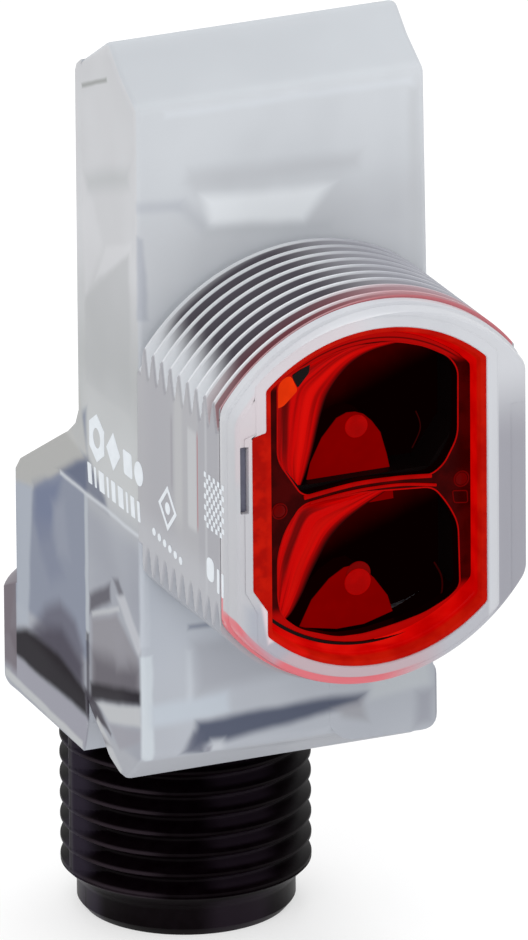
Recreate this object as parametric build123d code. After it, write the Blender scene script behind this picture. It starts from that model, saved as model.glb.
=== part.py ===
from build123d import *
import math
import os

os.makedirs("parts", exist_ok=True)

# A compact photoelectric sensor with an M18 x 1 threaded nose and an M12 x 1 plug.
# Frame: X is the width and Y the depth, with the nose pointing to -Y, and Z is up.
# The origin is on the nose axis, in the plane of the housing's front face.

# Housing
WIDTH = 15.0
HALF = WIDTH / 2
WALL = 1.0
FRONT_DEPTH = 6.4
PLATE_BACK = 7.1
TOP_Z = 18.8
BOTTOM_Z = -17.6
FACE_TOP_Z = 16.4
FACE_BOTTOM_Z = -15.9
STEP_Z = -0.7
BOX_BACK = 14.8
EDGE_ROUND = 0.4
FIT_GAP = 0.05

# Nose, M18 x 1 with two flats
NOSE_CREST = 9.0
NOSE_ROOT = 8.4
NOSE_PITCH = 1.0
NOSE_TURNS = 8
NOSE_THREAD_START = 0.9
NOSE_END = 9.5
NOSE_BORE = 7.75
NOSE_BORE_HALF = 5.95
FRONT_PLANE = 11.2

# Front bezel and red window
BEZEL_RADIUS = 9.1
BEZEL_CORNER = 0.9
WINDOW_RADIUS = 8.3
WINDOW_HALF = 5.75
WINDOW_INSET = 0.1
WINDOW_BACK = 9.9
EAR_OUT = 6.5
EAR_HALF_HEIGHT = 4.0
SLOT_LOW = 0.05
SLOT_HIGH = 3.4
SLOT_DEPTH = 0.5

# Optics
LENS_Z = 3.95
APERTURE_RADIUS = 7.6
APERTURE_HALF = 4.65
BAR_HALF = 0.2
BAR_REACH = 3.3
APERTURE_CORNER_Z = 2.0
MASK_BACK = 9.0
CARRIER_BACK = 1.6
CARRIER_RADIUS = 7.6
CARRIER_HALF = 5.8
LENS_BACK = 6.8
LENS_DOME = 9.0
TUNNEL_TAPER = 30
PIN_X = 5.2
PIN_RADIUS = 0.42

# M12 x 1 connector on its own vertical axis
PLUG_Y = 12.2
PLUG_CREST = 5.93
PLUG_ROOT = 5.35
PLUG_PITCH = 1.0
PLUG_TURNS = 8
PLUG_FIRST_CREST = -19.16
COLLAR_RADIUS = 5.23
PLUG_END = -28.35
BOSS_RADIUS = 8.6
BOSS_TOP = -11.5
FLANGE_RADIUS = 7.4
FLANGE_HALF = 6.3
FLANGE_TOP = -15.0
FLANGE_BOTTOM = -16.1
FLOOR_Z = -16.5
NECK_RADIUS = 4.6
NECK_TOP = -13.7
LEAD_HALF = 0.15
SOCKET_RADIUS = 4.4
SOCKET_FLOOR = -20.6
CONTACT_CIRCLE = 2.5
CONTACT_RADIUS = 0.5

# Electronics
BOARD_FRONT = 2.6
BOARD_THICK = 0.8
BOARD_HALF = 6.1
BOARD_TOP = 15.3
BOARD_BOTTOM = -14.2


def save(solids, name):
    """Write one or more solids as one named node."""
    items = solids if isinstance(solids, list) else [solids]
    shape = items[0] if len(items) == 1 else Compound(children=items)
    shape.label = name
    export_step(shape, f"parts/{name}.step")


def side_prism(points, half_width):
    """Extrude a closed outline of (Y, Z) points by the same width to both sides of X = 0."""
    return extrude(Plane.YZ * Polygon(*points, align=None), amount=half_width, both=True)


def front_prism(points, y_front, y_back):
    """Extrude a closed outline of (X, Z) points from y_front back to y_back."""
    plane = Plane(origin=(0, y_back, 0), x_dir=(1, 0, 0), z_dir=(0, -1, 0))
    return extrude(plane * Polygon(*points, align=None), amount=y_back - y_front, dir=(0, -1, 0))


def y_rod(radius, y_front, y_back, x=0.0, z=0.0):
    """A round bar along Y."""
    length = y_back - y_front
    return Pos(x, y_front + length / 2, z) * (Rot(90, 0, 0) * Cylinder(radius, length))


def z_rod(radius, z_low, z_high, x=0.0, y=PLUG_Y):
    """A round bar along Z, on the plug's axis unless told otherwise."""
    return Pos(x, y, (z_low + z_high) / 2) * Cylinder(radius, z_high - z_low)


def block(x0, x1, y0, y1, z0, z1):
    """A box between two corners."""
    return Pos((x0 + x1) / 2, (y0 + y1) / 2, (z0 + z1) / 2) * Box(x1 - x0, y1 - y0, z1 - z0)


def flatted_rod(radius, half, y_front, y_back):
    """A round bar along Y with flats at X = -half and X = half."""
    return y_rod(radius, y_front, y_back) & block(-half, half, y_front, y_back, -radius, radius)


def groove_ring(crest, root, pitch, offset):
    """The V-shaped ring between two crests, as (radius, axial) points starting at offset."""
    crest_flat = pitch / 8
    root_flat = pitch / 4
    outside = crest + 0.3
    return [
        (outside, offset + crest_flat / 2),
        (crest, offset + crest_flat / 2),
        (root, offset + (pitch - root_flat) / 2),
        (root, offset + (pitch + root_flat) / 2),
        (crest, offset + pitch - crest_flat / 2),
        (outside, offset + pitch - crest_flat / 2),
    ]


def aperture(sign, y_front, y_back):
    """One barrel-shaped light opening, above the bar for sign 1 and below it for sign -1."""
    corner_top = math.sqrt(APERTURE_RADIUS**2 - APERTURE_HALF**2)
    outline = [
        (-BAR_REACH, sign * BAR_HALF),
        (BAR_REACH, sign * BAR_HALF),
        (APERTURE_HALF, sign * APERTURE_CORNER_Z),
        (APERTURE_HALF, sign * (corner_top + 2.0)),
        (-APERTURE_HALF, sign * (corner_top + 2.0)),
        (-APERTURE_HALF, sign * APERTURE_CORNER_Z),
    ]
    return front_prism(outline, y_front, y_back) & y_rod(APERTURE_RADIUS, y_front, y_back)


# Outlines in (Y, Z)
FRONT_OUTLINE = [
    (0, FACE_TOP_Z),
    (1.9, 17.6),
    (3.2, TOP_Z),
    (3.7, TOP_Z - 0.2),
    (FRONT_DEPTH, 16.95),
    (FRONT_DEPTH, -15.3),
    (6.1, -15.6),
    (4.9, -16.4),
    (4.0, -17.2),
    (2.8, BOTTOM_Z),
    (2.0, BOTTOM_Z),
    (0, FACE_BOTTOM_Z),
]
FRONT_CAVITY = [
    (WALL, FACE_TOP_Z - 0.6),
    (2.4, 16.7),
    (3.4, TOP_Z - 1.3),
    (FRONT_DEPTH + 1, 15.4),
    (FRONT_DEPTH + 1, -14.5),
    (4.4, -15.4),
    (3.4, -16.3),
    (2.3, -16.4),
    (WALL, FACE_BOTTOM_Z + 0.7),
]
REAR_OUTLINE = [
    (FRONT_DEPTH, 16.95),
    (6.9, 16.6),
    (PLATE_BACK, 16.2),
    (PLATE_BACK, STEP_Z),
    (7.5, -1.5),
    (8.4, -2.2),
    (9.3, -2.7),
    (14.2, -5.5),
    (BOX_BACK, -6.2),
    (BOX_BACK, -17.5),
    (6.9, -17.8),
    (6.4, -16.3),
]
REAR_CAVITY = [
    (FRONT_DEPTH - 1, -1.4),
    (6.9, -2.5),
    (9.0, -3.8),
    (13.4, -6.2),
    (BOX_BACK - WALL, -6.9),
    (BOX_BACK - WALL, FLOOR_Z),
    (FRONT_DEPTH - 1, FLOOR_Z),
]


def make_front_housing():
    """Clear moulded front half: a slab-shaped shell with the threaded nose on its front face."""
    shell = side_prism(FRONT_OUTLINE, HALF)
    shell = fillet(shell.edges().filter_by(Axis.Z).group_by(Axis.Y)[0], EDGE_ROUND)
    shell -= side_prism(FRONT_CAVITY, HALF - WALL)
    nose = y_rod(NOSE_CREST, -NOSE_END, 0.2)
    for turn in range(NOSE_TURNS):
        offset = -(NOSE_THREAD_START + (turn + 1) * NOSE_PITCH)
        profile = groove_ring(NOSE_CREST, NOSE_ROOT, NOSE_PITCH, offset)
        nose -= revolve(Polygon(*profile, align=None), Axis.Y)
    nose &= block(-HALF, HALF, -NOSE_END, 0.2, -NOSE_CREST, NOSE_CREST)
    shell += nose
    shell -= flatted_rod(NOSE_BORE, NOSE_BORE_HALF, -NOSE_END, WALL + 0.1)
    return shell - block(-4.5, 2.5, 1.9, 3.0, BOTTOM_Z - 0.1, BOTTOM_Z + 0.45)


def make_rear_cover():
    """Clear moulded rear half: the back plate, the lower box and the boss round the plug."""
    cover = side_prism(REAR_OUTLINE, HALF)
    boss = z_rod(BOSS_RADIUS, -17.5, BOSS_TOP)
    boss = chamfer(boss.edges().group_by(Axis.Z)[-1], 1.2)
    boss = fillet(boss.edges().group_by(Axis.Z)[0], EDGE_ROUND)
    cover += boss & block(-HALF, HALF, PLUG_Y, 30, -18, BOSS_TOP)
    cover -= side_prism(REAR_CAVITY, HALF - WALL)
    inner_boss = z_rod(BOSS_RADIUS - WALL, FLOOR_Z, BOSS_TOP - 0.9)
    cover -= inner_boss & block(-HALF + WALL, HALF - WALL, FRONT_DEPTH, 30, -18, 0)
    cover -= z_rod(PLUG_CREST + FIT_GAP, -19, FLOOR_Z + 0.1)
    return cover - block(-HALF, HALF, 0, FRONT_DEPTH, -20, 20)


def bezel_outline(y_front, y_back):
    """Outer body of the bezel, a disc with two flats and rounded corners."""
    body = flatted_rod(BEZEL_RADIUS, HALF, y_front, y_back)
    return fillet(body.edges().filter_by(Axis.Y), BEZEL_CORNER)


def window_body(y_front, y_back, ease=0.0):
    """The window's outline with its locating ear on the left, made smaller all round by ease."""
    half = WINDOW_HALF - ease
    ear_high = EAR_HALF_HEIGHT - ease
    body = flatted_rod(WINDOW_RADIUS - ease, half, y_front, y_back)
    return body + block(-EAR_OUT + ease, 0, y_front, y_back, -ear_high, ear_high)


def make_front_bezel():
    """Clear end ring of the nose, with a latch slot in each flat."""
    ring = bezel_outline(-FRONT_PLANE, -NOSE_END)
    ring = chamfer(ring.edges().group_by(Axis.Y)[0], 0.15)
    ring -= window_body(-FRONT_PLANE - 1, -NOSE_END + 1)
    for side in (-1, 1):
        outer = side * HALF
        inner = side * (HALF - SLOT_DEPTH)
        x_low, x_high = sorted((outer, inner))
        ring -= block(x_low, x_high, -FRONT_PLANE - 1, -FRONT_PLANE + 0.9, SLOT_LOW, SLOT_HIGH)
    return ring


def make_lens_window():
    """Red transparent window, one thick block set into the bezel."""
    return window_body(-FRONT_PLANE + WINDOW_INSET, -WINDOW_BACK, FIT_GAP)


def make_window_gasket():
    """Thin ring that seals the window against the end of the optics."""
    ring = window_body(-WINDOW_BACK, -NOSE_END, FIT_GAP)
    return ring - flatted_rod(7.7, 5.2, -WINDOW_BACK - 1, -NOSE_END + 1)


def make_aperture_mask():
    """Black mask with two barrel-shaped openings, a narrow bar between them."""
    plate = flatted_rod(NOSE_BORE - FIT_GAP, NOSE_BORE_HALF - FIT_GAP, -NOSE_END, -MASK_BACK)
    for sign in (-1, 1):
        plate -= aperture(sign, -NOSE_END, -MASK_BACK)
    for side in (-1, 1):
        plate -= y_rod(PIN_RADIUS, -NOSE_END, -MASK_BACK, x=side * PIN_X)
    return plate


def make_optics_carrier():
    """Black block with one tapered light tunnel for each optical channel."""
    body = flatted_rod(CARRIER_RADIUS, CARRIER_HALF, -MASK_BACK, -CARRIER_BACK)
    for side in (-1, 1):
        body -= y_rod(PIN_RADIUS, -MASK_BACK, -CARRIER_BACK, x=side * PIN_X)
        body -= aperture(side, -MASK_BACK, -LENS_BACK)
        mouth = [(-4.5, 0.4), (4.5, 0.4), (4.5, 5.6), (2.6, 7.0), (-2.6, 7.0), (-4.5, 5.6)]
        plane = Plane(origin=(0, -LENS_BACK, 0), x_dir=(1, 0, 0), z_dir=(0, 1, 0))
        face = plane * Polygon(*[(side * x, -side * z) for x, z in mouth], align=None)
        body -= extrude(face, amount=LENS_BACK - CARRIER_BACK, dir=(0, 1, 0), taper=TUNNEL_TAPER)
    return body


def make_lens(sign):
    """Plano-convex lens, cut to the opening's outline, at the mouth of a light tunnel."""
    centre_y = -MASK_BACK + FIT_GAP + LENS_DOME
    dome = Pos(0, centre_y, sign * LENS_Z) * Sphere(LENS_DOME)
    return dome & aperture(sign, -MASK_BACK, -LENS_BACK)


def make_heat_stakes():
    """Two plastic stakes that hold the mask on the carrier."""
    stakes = []
    for side in (-1, 1):
        shank = y_rod(PIN_RADIUS - 0.02, -NOSE_END, -CARRIER_BACK, x=side * PIN_X)
        stakes.append(shank)
    return stakes


def make_optics_board():
    """Small board across the rear of the nose, behind the light tunnels."""
    return flatted_rod(NOSE_BORE - 0.25, NOSE_BORE_HALF - 0.25, -CARRIER_BACK + 1.0, -CARRIER_BACK + 1.6)


def make_main_board():
    """Main board, upright in the housing, with its top corners cut to suit the ridge."""
    outline = [
        (-BOARD_HALF, BOARD_BOTTOM),
        (BOARD_HALF, BOARD_BOTTOM),
        (BOARD_HALF, BOARD_TOP - 1.2),
        (BOARD_HALF - 1.2, BOARD_TOP),
        (-BOARD_HALF + 1.2, BOARD_TOP),
        (-BOARD_HALF, BOARD_TOP - 1.2),
    ]
    return front_prism(outline, BOARD_FRONT, BOARD_FRONT + BOARD_THICK)


def chip(x, z, width, height, thick, y_front=BOARD_FRONT + BOARD_THICK):
    """A rectangular component standing on the rear face of the main board."""
    return block(x - width / 2, x + width / 2, y_front, y_front + thick, z - height / 2, z + height / 2)


def make_flex_ribbon():
    """Flat ribbon from the rear of the optics board to the front of the main board."""
    y_start = -CARRIER_BACK + 1.6
    path = [
        (y_start, -6.0),
        (y_start + 0.15, -6.0),
        (y_start + 0.9, -7.3),
        (BOARD_FRONT - 0.12, -8.6),
        (BOARD_FRONT, -8.6),
        (BOARD_FRONT, -10.4),
        (BOARD_FRONT - 0.12, -10.4),
        (BOARD_FRONT - 0.14, -8.75),
        (y_start + 0.76, -7.45),
        (y_start + 0.03, -6.2),
        (y_start, -6.2),
    ]
    return side_prism(path, 1.5)


def make_connector_sleeve():
    """Black threaded tube of the plug: M12 x 1 outside, a plain bore for the socket inside."""
    last_crest = PLUG_FIRST_CREST - (PLUG_TURNS - 1) * PLUG_PITCH
    thread_end = last_crest - 0.2
    sleeve = z_rod(PLUG_CREST, thread_end, FLANGE_BOTTOM)
    for turn in range(PLUG_TURNS - 1):
        offset = PLUG_FIRST_CREST - (turn + 1) * PLUG_PITCH
        profile = groove_ring(PLUG_CREST, PLUG_ROOT, PLUG_PITCH, offset)
        sleeve -= Pos(0, PLUG_Y, 0) * revolve(Plane.XZ * Polygon(*profile, align=None), Axis.Z)
    taper_height = PLUG_CREST - COLLAR_RADIUS
    taper = Cone(COLLAR_RADIUS, PLUG_CREST, taper_height)
    sleeve += Pos(0, PLUG_Y, thread_end - taper_height / 2) * taper
    collar = z_rod(COLLAR_RADIUS, PLUG_END, last_crest)
    sleeve += chamfer(collar.edges().group_by(Axis.Z)[0], 0.35)
    return sleeve - z_rod(SOCKET_RADIUS, PLUG_END - 1, FLANGE_BOTTOM + 1)


def contact_places():
    """The four A-coded contacts, as (X, Y) offsets from the plug's axis."""
    places = []
    for turn in range(4):
        angle = math.radians(45 + 90 * turn)
        places.append((CONTACT_CIRCLE * math.cos(angle), CONTACT_CIRCLE * math.sin(angle)))
    return places


def drill_contacts(solid):
    """Cut the four contact holes right through a piece of the plug's insert."""
    for x, y in contact_places():
        solid -= z_rod(CONTACT_RADIUS, SOCKET_FLOOR - 1, NECK_TOP + 1, x, PLUG_Y + y)
    return solid


def make_contact_core():
    """Black core that closes the top of the sleeve, and the coding rib that hangs from it in the socket."""
    core_radius = SOCKET_RADIUS - 0.02
    core = drill_contacts(z_rod(core_radius, SOCKET_FLOOR, FLANGE_BOTTOM))
    rib = block(-0.5, 0.5, PLUG_Y + 3.7, PLUG_Y + core_radius, PLUG_END + 1.3, SOCKET_FLOOR)
    return [core, rib & z_rod(core_radius, PLUG_END, SOCKET_FLOOR)]


def make_contact_flange():
    """Black flange that rests on the seal inside the boss, with the neck that guides the contacts."""
    flange = z_rod(FLANGE_RADIUS, FLANGE_BOTTOM, FLANGE_TOP)
    flange &= block(-FLANGE_HALF, FLANGE_HALF, FRONT_DEPTH + 0.1, 40, FLANGE_BOTTOM, FLANGE_TOP)
    return drill_contacts(flange + z_rod(NECK_RADIUS, FLANGE_TOP, NECK_TOP))


def make_contact_pins():
    """Four gold-plated pins, round-ended in the socket, that run up through the neck."""
    pins = []
    for x, y in contact_places():
        pin = z_rod(CONTACT_RADIUS, PLUG_END + 1.6, NECK_TOP + 0.4, x, PLUG_Y + y)
        pins.append(fillet(pin.edges().group_by(Axis.Z)[0], 0.35))
    return pins


def make_pin_leads():
    """Four stiff leads from the top of the pins forward to the main board."""
    leads = []
    for x, y in contact_places():
        start_z = NECK_TOP + 0.4
        level = start_z + (4 if y > 0 else 1) * LEAD_HALF
        back = PLUG_Y + y + LEAD_HALF
        front = BOARD_FRONT + BOARD_THICK
        left, right = x - LEAD_HALF, x + LEAD_HALF
        upright = block(left, right, back - 2 * LEAD_HALF, back, start_z, level + LEAD_HALF)
        run = block(left, right, front, back, level - LEAD_HALF, level + LEAD_HALF)
        leads.append(upright + run)
    return leads


def make_connector_seal():
    """Flat rubber ring between the flange and the floor of the boss."""
    ring = z_rod(FLANGE_RADIUS - 0.2, FLOOR_Z, FLANGE_BOTTOM) - z_rod(PLUG_CREST + 0.1, FLOOR_Z, FLANGE_BOTTOM)
    return ring & block(-FLANGE_HALF, FLANGE_HALF, FRONT_DEPTH + 0.1, 40, FLOOR_Z, FLANGE_BOTTOM)


def make_light_guide():
    """Small clear prism under the ridge that shows the two status lamps."""
    outline = [(3.0, 15.9), (3.3, 17.3), (3.6, 17.2), (5.6, 16.1), (5.6, 15.5), (3.9, 15.5), (3.5, 15.9)]
    return side_prism(outline, 3.2)


def make_passives(first_x, first_z, count, width, height, thick):
    """A row of small two-terminal components on the rear face of the main board."""
    step = width + 0.7
    return [chip(first_x + step * index, first_z, width, height, thick) for index in range(count)]


save(make_front_housing(), "front_housing")
save(make_rear_cover(), "rear_cover")
save(make_front_bezel(), "front_bezel")
save(make_lens_window(), "lens_window")
save(make_window_gasket(), "window_gasket")
save(make_aperture_mask(), "aperture_mask")
save(make_optics_carrier(), "optics_carrier")
save(make_lens(1), "receiver_lens")
save(make_lens(-1), "emitter_lens")
save(make_heat_stakes(), "heat_stakes")
save(make_optics_board(), "optics_board")
save(make_flex_ribbon(), "flex_ribbon")
save(make_main_board(), "main_board")
save(make_connector_sleeve(), "connector_sleeve")
save(make_contact_core(), "contact_core")
save(make_contact_flange(), "contact_flange")
save(make_contact_pins(), "contact_pins")
save(make_pin_leads(), "pin_leads")
save(make_connector_seal(), "connector_seal")
save(make_light_guide(), "light_guide")

optics_front = -CARRIER_BACK
optics_rear = -CARRIER_BACK + 1.0
save(block(-1.0, 1.0, optics_front + 0.1, optics_rear, LENS_Z - 1.0, LENS_Z + 1.0), "receiver_chip")
save(block(-0.8, 0.8, optics_front + 0.2, optics_rear, -LENS_Z - 0.8, -LENS_Z + 0.8), "emitter_led")
save(chip(0, 4.5, 5.0, 5.0, 0.9), "controller_chip")
save(chip(-3.2, -3.0, 2.9, 1.6, 1.0), "regulator_chip")
save(chip(2.6, -3.2, 3.0, 3.0, 0.8), "output_driver")
save(make_passives(-4.4, 9.3, 5, 1.2, 0.7, 0.6), "ceramic_capacitors")
save(make_passives(-4.4, 0.0, 6, 1.0, 0.5, 0.4), "chip_resistors")
save(chip(-1.8, 14.2, 1.6, 0.9, 0.7), "power_led")
save(chip(1.8, 14.2, 1.6, 0.9, 0.7), "output_led")
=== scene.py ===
import math

import bmesh
import bpy
from mathutils import Matrix, Vector


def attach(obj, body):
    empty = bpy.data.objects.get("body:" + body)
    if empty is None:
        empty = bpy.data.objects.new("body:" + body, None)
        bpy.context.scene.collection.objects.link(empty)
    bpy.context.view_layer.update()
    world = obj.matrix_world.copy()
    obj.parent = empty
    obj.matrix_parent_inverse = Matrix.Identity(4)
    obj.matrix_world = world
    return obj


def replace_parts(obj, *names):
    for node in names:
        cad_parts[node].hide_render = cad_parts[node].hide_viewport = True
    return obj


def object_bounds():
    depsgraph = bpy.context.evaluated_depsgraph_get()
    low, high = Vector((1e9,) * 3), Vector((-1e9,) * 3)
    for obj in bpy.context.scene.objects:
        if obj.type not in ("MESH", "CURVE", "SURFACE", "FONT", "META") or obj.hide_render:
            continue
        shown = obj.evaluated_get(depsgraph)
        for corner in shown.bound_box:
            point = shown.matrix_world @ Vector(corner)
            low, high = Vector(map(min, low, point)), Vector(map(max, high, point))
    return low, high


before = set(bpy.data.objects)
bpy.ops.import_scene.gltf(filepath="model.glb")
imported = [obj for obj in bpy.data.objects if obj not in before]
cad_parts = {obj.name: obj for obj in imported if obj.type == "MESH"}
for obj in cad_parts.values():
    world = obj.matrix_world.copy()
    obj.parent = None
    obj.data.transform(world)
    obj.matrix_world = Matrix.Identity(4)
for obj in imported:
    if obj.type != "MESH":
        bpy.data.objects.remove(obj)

CAD_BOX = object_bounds()
MM = 0.001
BODY = "root"

# All sizes are in millimetres, in the CAD frame: the nose points to -Y and Z is up.
HALF = 7.5
SHELL_WALL = 1.0
SLAB_DRAFT = 0.24
SLAB_LEAN = 0.45

# Nose thread and bezel
NOSE_CREST = 9.0
NOSE_ROOT = 8.3
NOSE_PITCH = 1.0
NOSE_STRETCH = 0.3
LOWER_HALF = 1.025
BEZEL_STRETCH = 0.22
THREAD_BACK = -0.35
THREAD_FRONT = -9.45
BEZEL_HALF = 7.42
FRONT = -11.2

# Red window: its outline is a disc with two flats and an ear on the left
WINDOW_FRONT = -11.1
WINDOW_RADIUS = 8.2
WINDOW_HALF = 5.6
WINDOW_SHIFT = -0.25
EAR_OUT = 0.72
EAR_HIGH = 3.95
MASK_FRONT = -9.72
MASK_BACK = -9.0
OPTIC_FRONT = -8.4
POCKET_FLOOR = -7.0

# Plug
PLUG_Y = 12.2
PLUG_CREST = 6.0
PLUG_ROOT = 5.3
PLUG_PITCH = 1.04
PLUG_FIRST_CREST = -18.7
PLUG_TURNS = 8
PLUG_TOP = -16.1
COLLAR = 5.23
SOCKET = 4.4
PLUG_END = -28.35
PLUG_NECK = -17.7
PLUG_THREAD_END = -26.6


# ---------------------------------------------------------------- mesh helpers
def link_piece(name, mesh, materials):
    """Make a piece of the object from a finished mesh in metres."""
    for material in materials:
        mesh.materials.append(material)
    piece = bpy.data.objects.new(name, mesh)
    bpy.context.scene.collection.objects.link(piece)
    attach(piece, BODY)
    return piece


def finish_mesh(name, bm, materials, sharp_angle=35.0):
    """Turn a bmesh in millimetres into a smooth-shaded piece of the object."""
    bmesh.ops.scale(bm, vec=(MM, MM, MM), verts=bm.verts)
    bmesh.ops.recalc_face_normals(bm, faces=bm.faces)
    limit = math.radians(sharp_angle)
    for face in bm.faces:
        face.smooth = True
    for edge in bm.edges:
        if len(edge.link_faces) == 2 and edge.calc_face_angle(0.0) > limit:
            edge.smooth = False
    mesh = bpy.data.meshes.new(name)
    bm.to_mesh(mesh)
    bm.free()
    if not isinstance(materials, (list, tuple)):
        materials = [materials]
    return link_piece(name, mesh, materials)


def smooth_line(points, steps=6, closed=False):
    """Catmull-Rom curve through given points of any dimension."""
    count = len(points)
    spans = count if closed else count - 1
    result = []
    for span in range(spans):
        if closed:
            four = [points[(span + shift) % count] for shift in (-1, 0, 1, 2)]
        else:
            four = [points[min(max(span + shift, 0), count - 1)] for shift in (-1, 0, 1, 2)]
        p0, p1, p2, p3 = [Vector(p) for p in four]
        for step in range(steps):
            t = step / steps
            value = 0.5 * (
                2 * p1 + (p2 - p0) * t + (2 * p0 - 5 * p1 + 4 * p2 - p3) * t**2
                + (3 * p1 - p0 - 3 * p2 + p3) * t**3
            )
            result.append(tuple(value))
    if not closed:
        result.append(tuple(points[-1]))
    return result


def rounded(points, radius, steps=4):
    """A closed outline with each corner cut to a small arc of about the given radius."""
    result = []
    count = len(points)
    for i in range(count):
        corner = Vector(points[i])
        before = Vector(points[i - 1]) - corner
        after = Vector(points[(i + 1) % count]) - corner
        reach = min(radius, before.length * 0.45, after.length * 0.45)
        start = corner + before.normalized() * reach
        end = corner + after.normalized() * reach
        for step in range(steps + 1):
            t = step / steps
            point = (1 - t) ** 2 * start + 2 * t * (1 - t) * corner + t**2 * end
            result.append(tuple(point))
    return result


def resample(points, count):
    """The same line with evenly spaced points."""
    line = [Vector(p) for p in points]
    lengths = [0.0]
    for a, b in zip(line, line[1:]):
        lengths.append(lengths[-1] + (b - a).length)
    result = []
    span = 0
    for step in range(count):
        target = lengths[-1] * step / (count - 1)
        while span < len(line) - 2 and lengths[span + 1] < target:
            span += 1
        size = max(lengths[span + 1] - lengths[span], 1e-9)
        result.append(line[span].lerp(line[span + 1], (target - lengths[span]) / size))
    return result


def add_prism(bm, outline, low, high, place, material=0):
    """Add a closed prism on an outline; place(a, b, depth) gives each corner's position."""
    bottom = [bm.verts.new(place(a, b, low)) for a, b in outline]
    top = [bm.verts.new(place(a, b, high)) for a, b in outline]
    count = len(outline)
    faces = [bm.faces.new(bottom), bm.faces.new(top[::-1])]
    for i in range(count):
        j = (i + 1) % count
        faces.append(bm.faces.new((bottom[j], bottom[i], top[i], top[j])))
    for face in faces:
        face.material_index = material
    return faces


def across(y, z, x):
    """Place an outline of (Y, Z) points, extruded along X."""
    return (x, y, z)


def facing(x, z, y):
    """Place an outline of (X, Z) points, extruded along Y."""
    return (x, y, z)


def add_rings(bm, rings, materials=None):
    """Join closed rings of equal length with quads; materials gives one index per gap."""
    rows = [[bm.verts.new(point) for point in ring] for ring in rings]
    for index, (upper, lower) in enumerate(zip(rows, rows[1:])):
        count = len(upper)
        for i in range(count):
            j = (i + 1) % count
            face = bm.faces.new((upper[i], upper[j], lower[j], lower[i]))
            if materials:
                face.material_index = materials[index]
    return rows


def close_ring(bm, first, last, material=0):
    """Join the last row of a ring loft back to its first row."""
    count = len(first)
    for i in range(count):
        j = (i + 1) % count
        face = bm.faces.new((last[i], last[j], first[j], first[i]))
        face.material_index = material


def bevel_edges(bm, width, segments=3, angle=25.0, back=1000.0):
    """Round every edge sharper than the angle, apart from those behind the given Y."""
    bmesh.ops.recalc_face_normals(bm, faces=bm.faces)
    limit = math.radians(angle)
    edges = [
        e for e in bm.edges
        if len(e.link_faces) == 2 and e.calc_face_angle(0.0) > limit and min(v.co.y for v in e.verts) < back
    ]
    bmesh.ops.bevel(
        bm, geom=edges, offset=width, segments=segments, profile=0.5, affect="EDGES", clamp_overlap=True
    )


def tube(bm, points, radius, closed=False, sides=10):
    """Add a round tube along points, with flat ends where it is open."""
    path = [Vector(p) for p in points]
    count = len(path)
    rings = []
    for i, point in enumerate(path):
        if closed:
            along = path[(i + 1) % count] - path[i - 1]
        else:
            along = path[min(i + 1, count - 1)] - path[max(i - 1, 0)]
        along.normalize()
        side = along.cross(Vector((0, 1, 0)))
        if side.length < 1e-6:
            side = along.cross(Vector((1, 0, 0)))
        side.normalize()
        other = along.cross(side)
        ring = []
        for k in range(sides):
            angle = 2 * math.pi * k / sides
            ring.append(point + radius * (math.cos(angle) * side + math.sin(angle) * other))
        rings.append(ring)
    rows = add_rings(bm, rings)
    if closed:
        close_ring(bm, rows[0], rows[-1])
    else:
        bm.faces.new(rows[0])
        bm.faces.new(rows[-1][::-1])


FACE_ON = Matrix(((1, 0, 0, 0), (0, 0, -1, 0), (0, 1, 0, 0), (0, 0, 0, 1)))
SIDE_ON = Matrix(((0, 0, -1, 0), (-1, 0, 0, 0), (0, 1, 0, 0), (0, 0, 0, 1)))


def plate(name, outlines, depth, thickness, turn, material, bevel=0.0):
    """A flat plate from closed outlines, where inner outlines are holes; depth is along the face's normal."""
    curve = bpy.data.curves.new(name + "_outline", "CURVE")
    curve.dimensions = "2D"
    curve.fill_mode = "BOTH"
    curve.extrude = thickness / 2 - bevel
    curve.bevel_depth = bevel
    curve.bevel_resolution = 2
    curve.offset = -bevel
    for outline in outlines:
        spline = curve.splines.new("POLY")
        spline.points.add(len(outline) - 1)
        for point, (a, b) in zip(spline.points, outline):
            point.co = (a, b, 0.0, 1.0)
        spline.use_cyclic_u = True
    holder = bpy.data.objects.new(name + "_outline", curve)
    bpy.context.scene.collection.objects.link(holder)
    bpy.context.view_layer.update()
    graph = bpy.context.evaluated_depsgraph_get()
    mesh = bpy.data.meshes.new_from_object(holder.evaluated_get(graph))
    bpy.data.objects.remove(holder)
    bpy.data.curves.remove(curve)
    bm = bmesh.new()
    bm.from_mesh(mesh)
    bpy.data.meshes.remove(mesh)
    bmesh.ops.remove_doubles(bm, verts=bm.verts, dist=1e-4)
    bmesh.ops.transform(bm, matrix=turn @ Matrix.Translation((0, 0, depth)), verts=bm.verts)
    return finish_mesh(name, bm, material)


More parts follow.
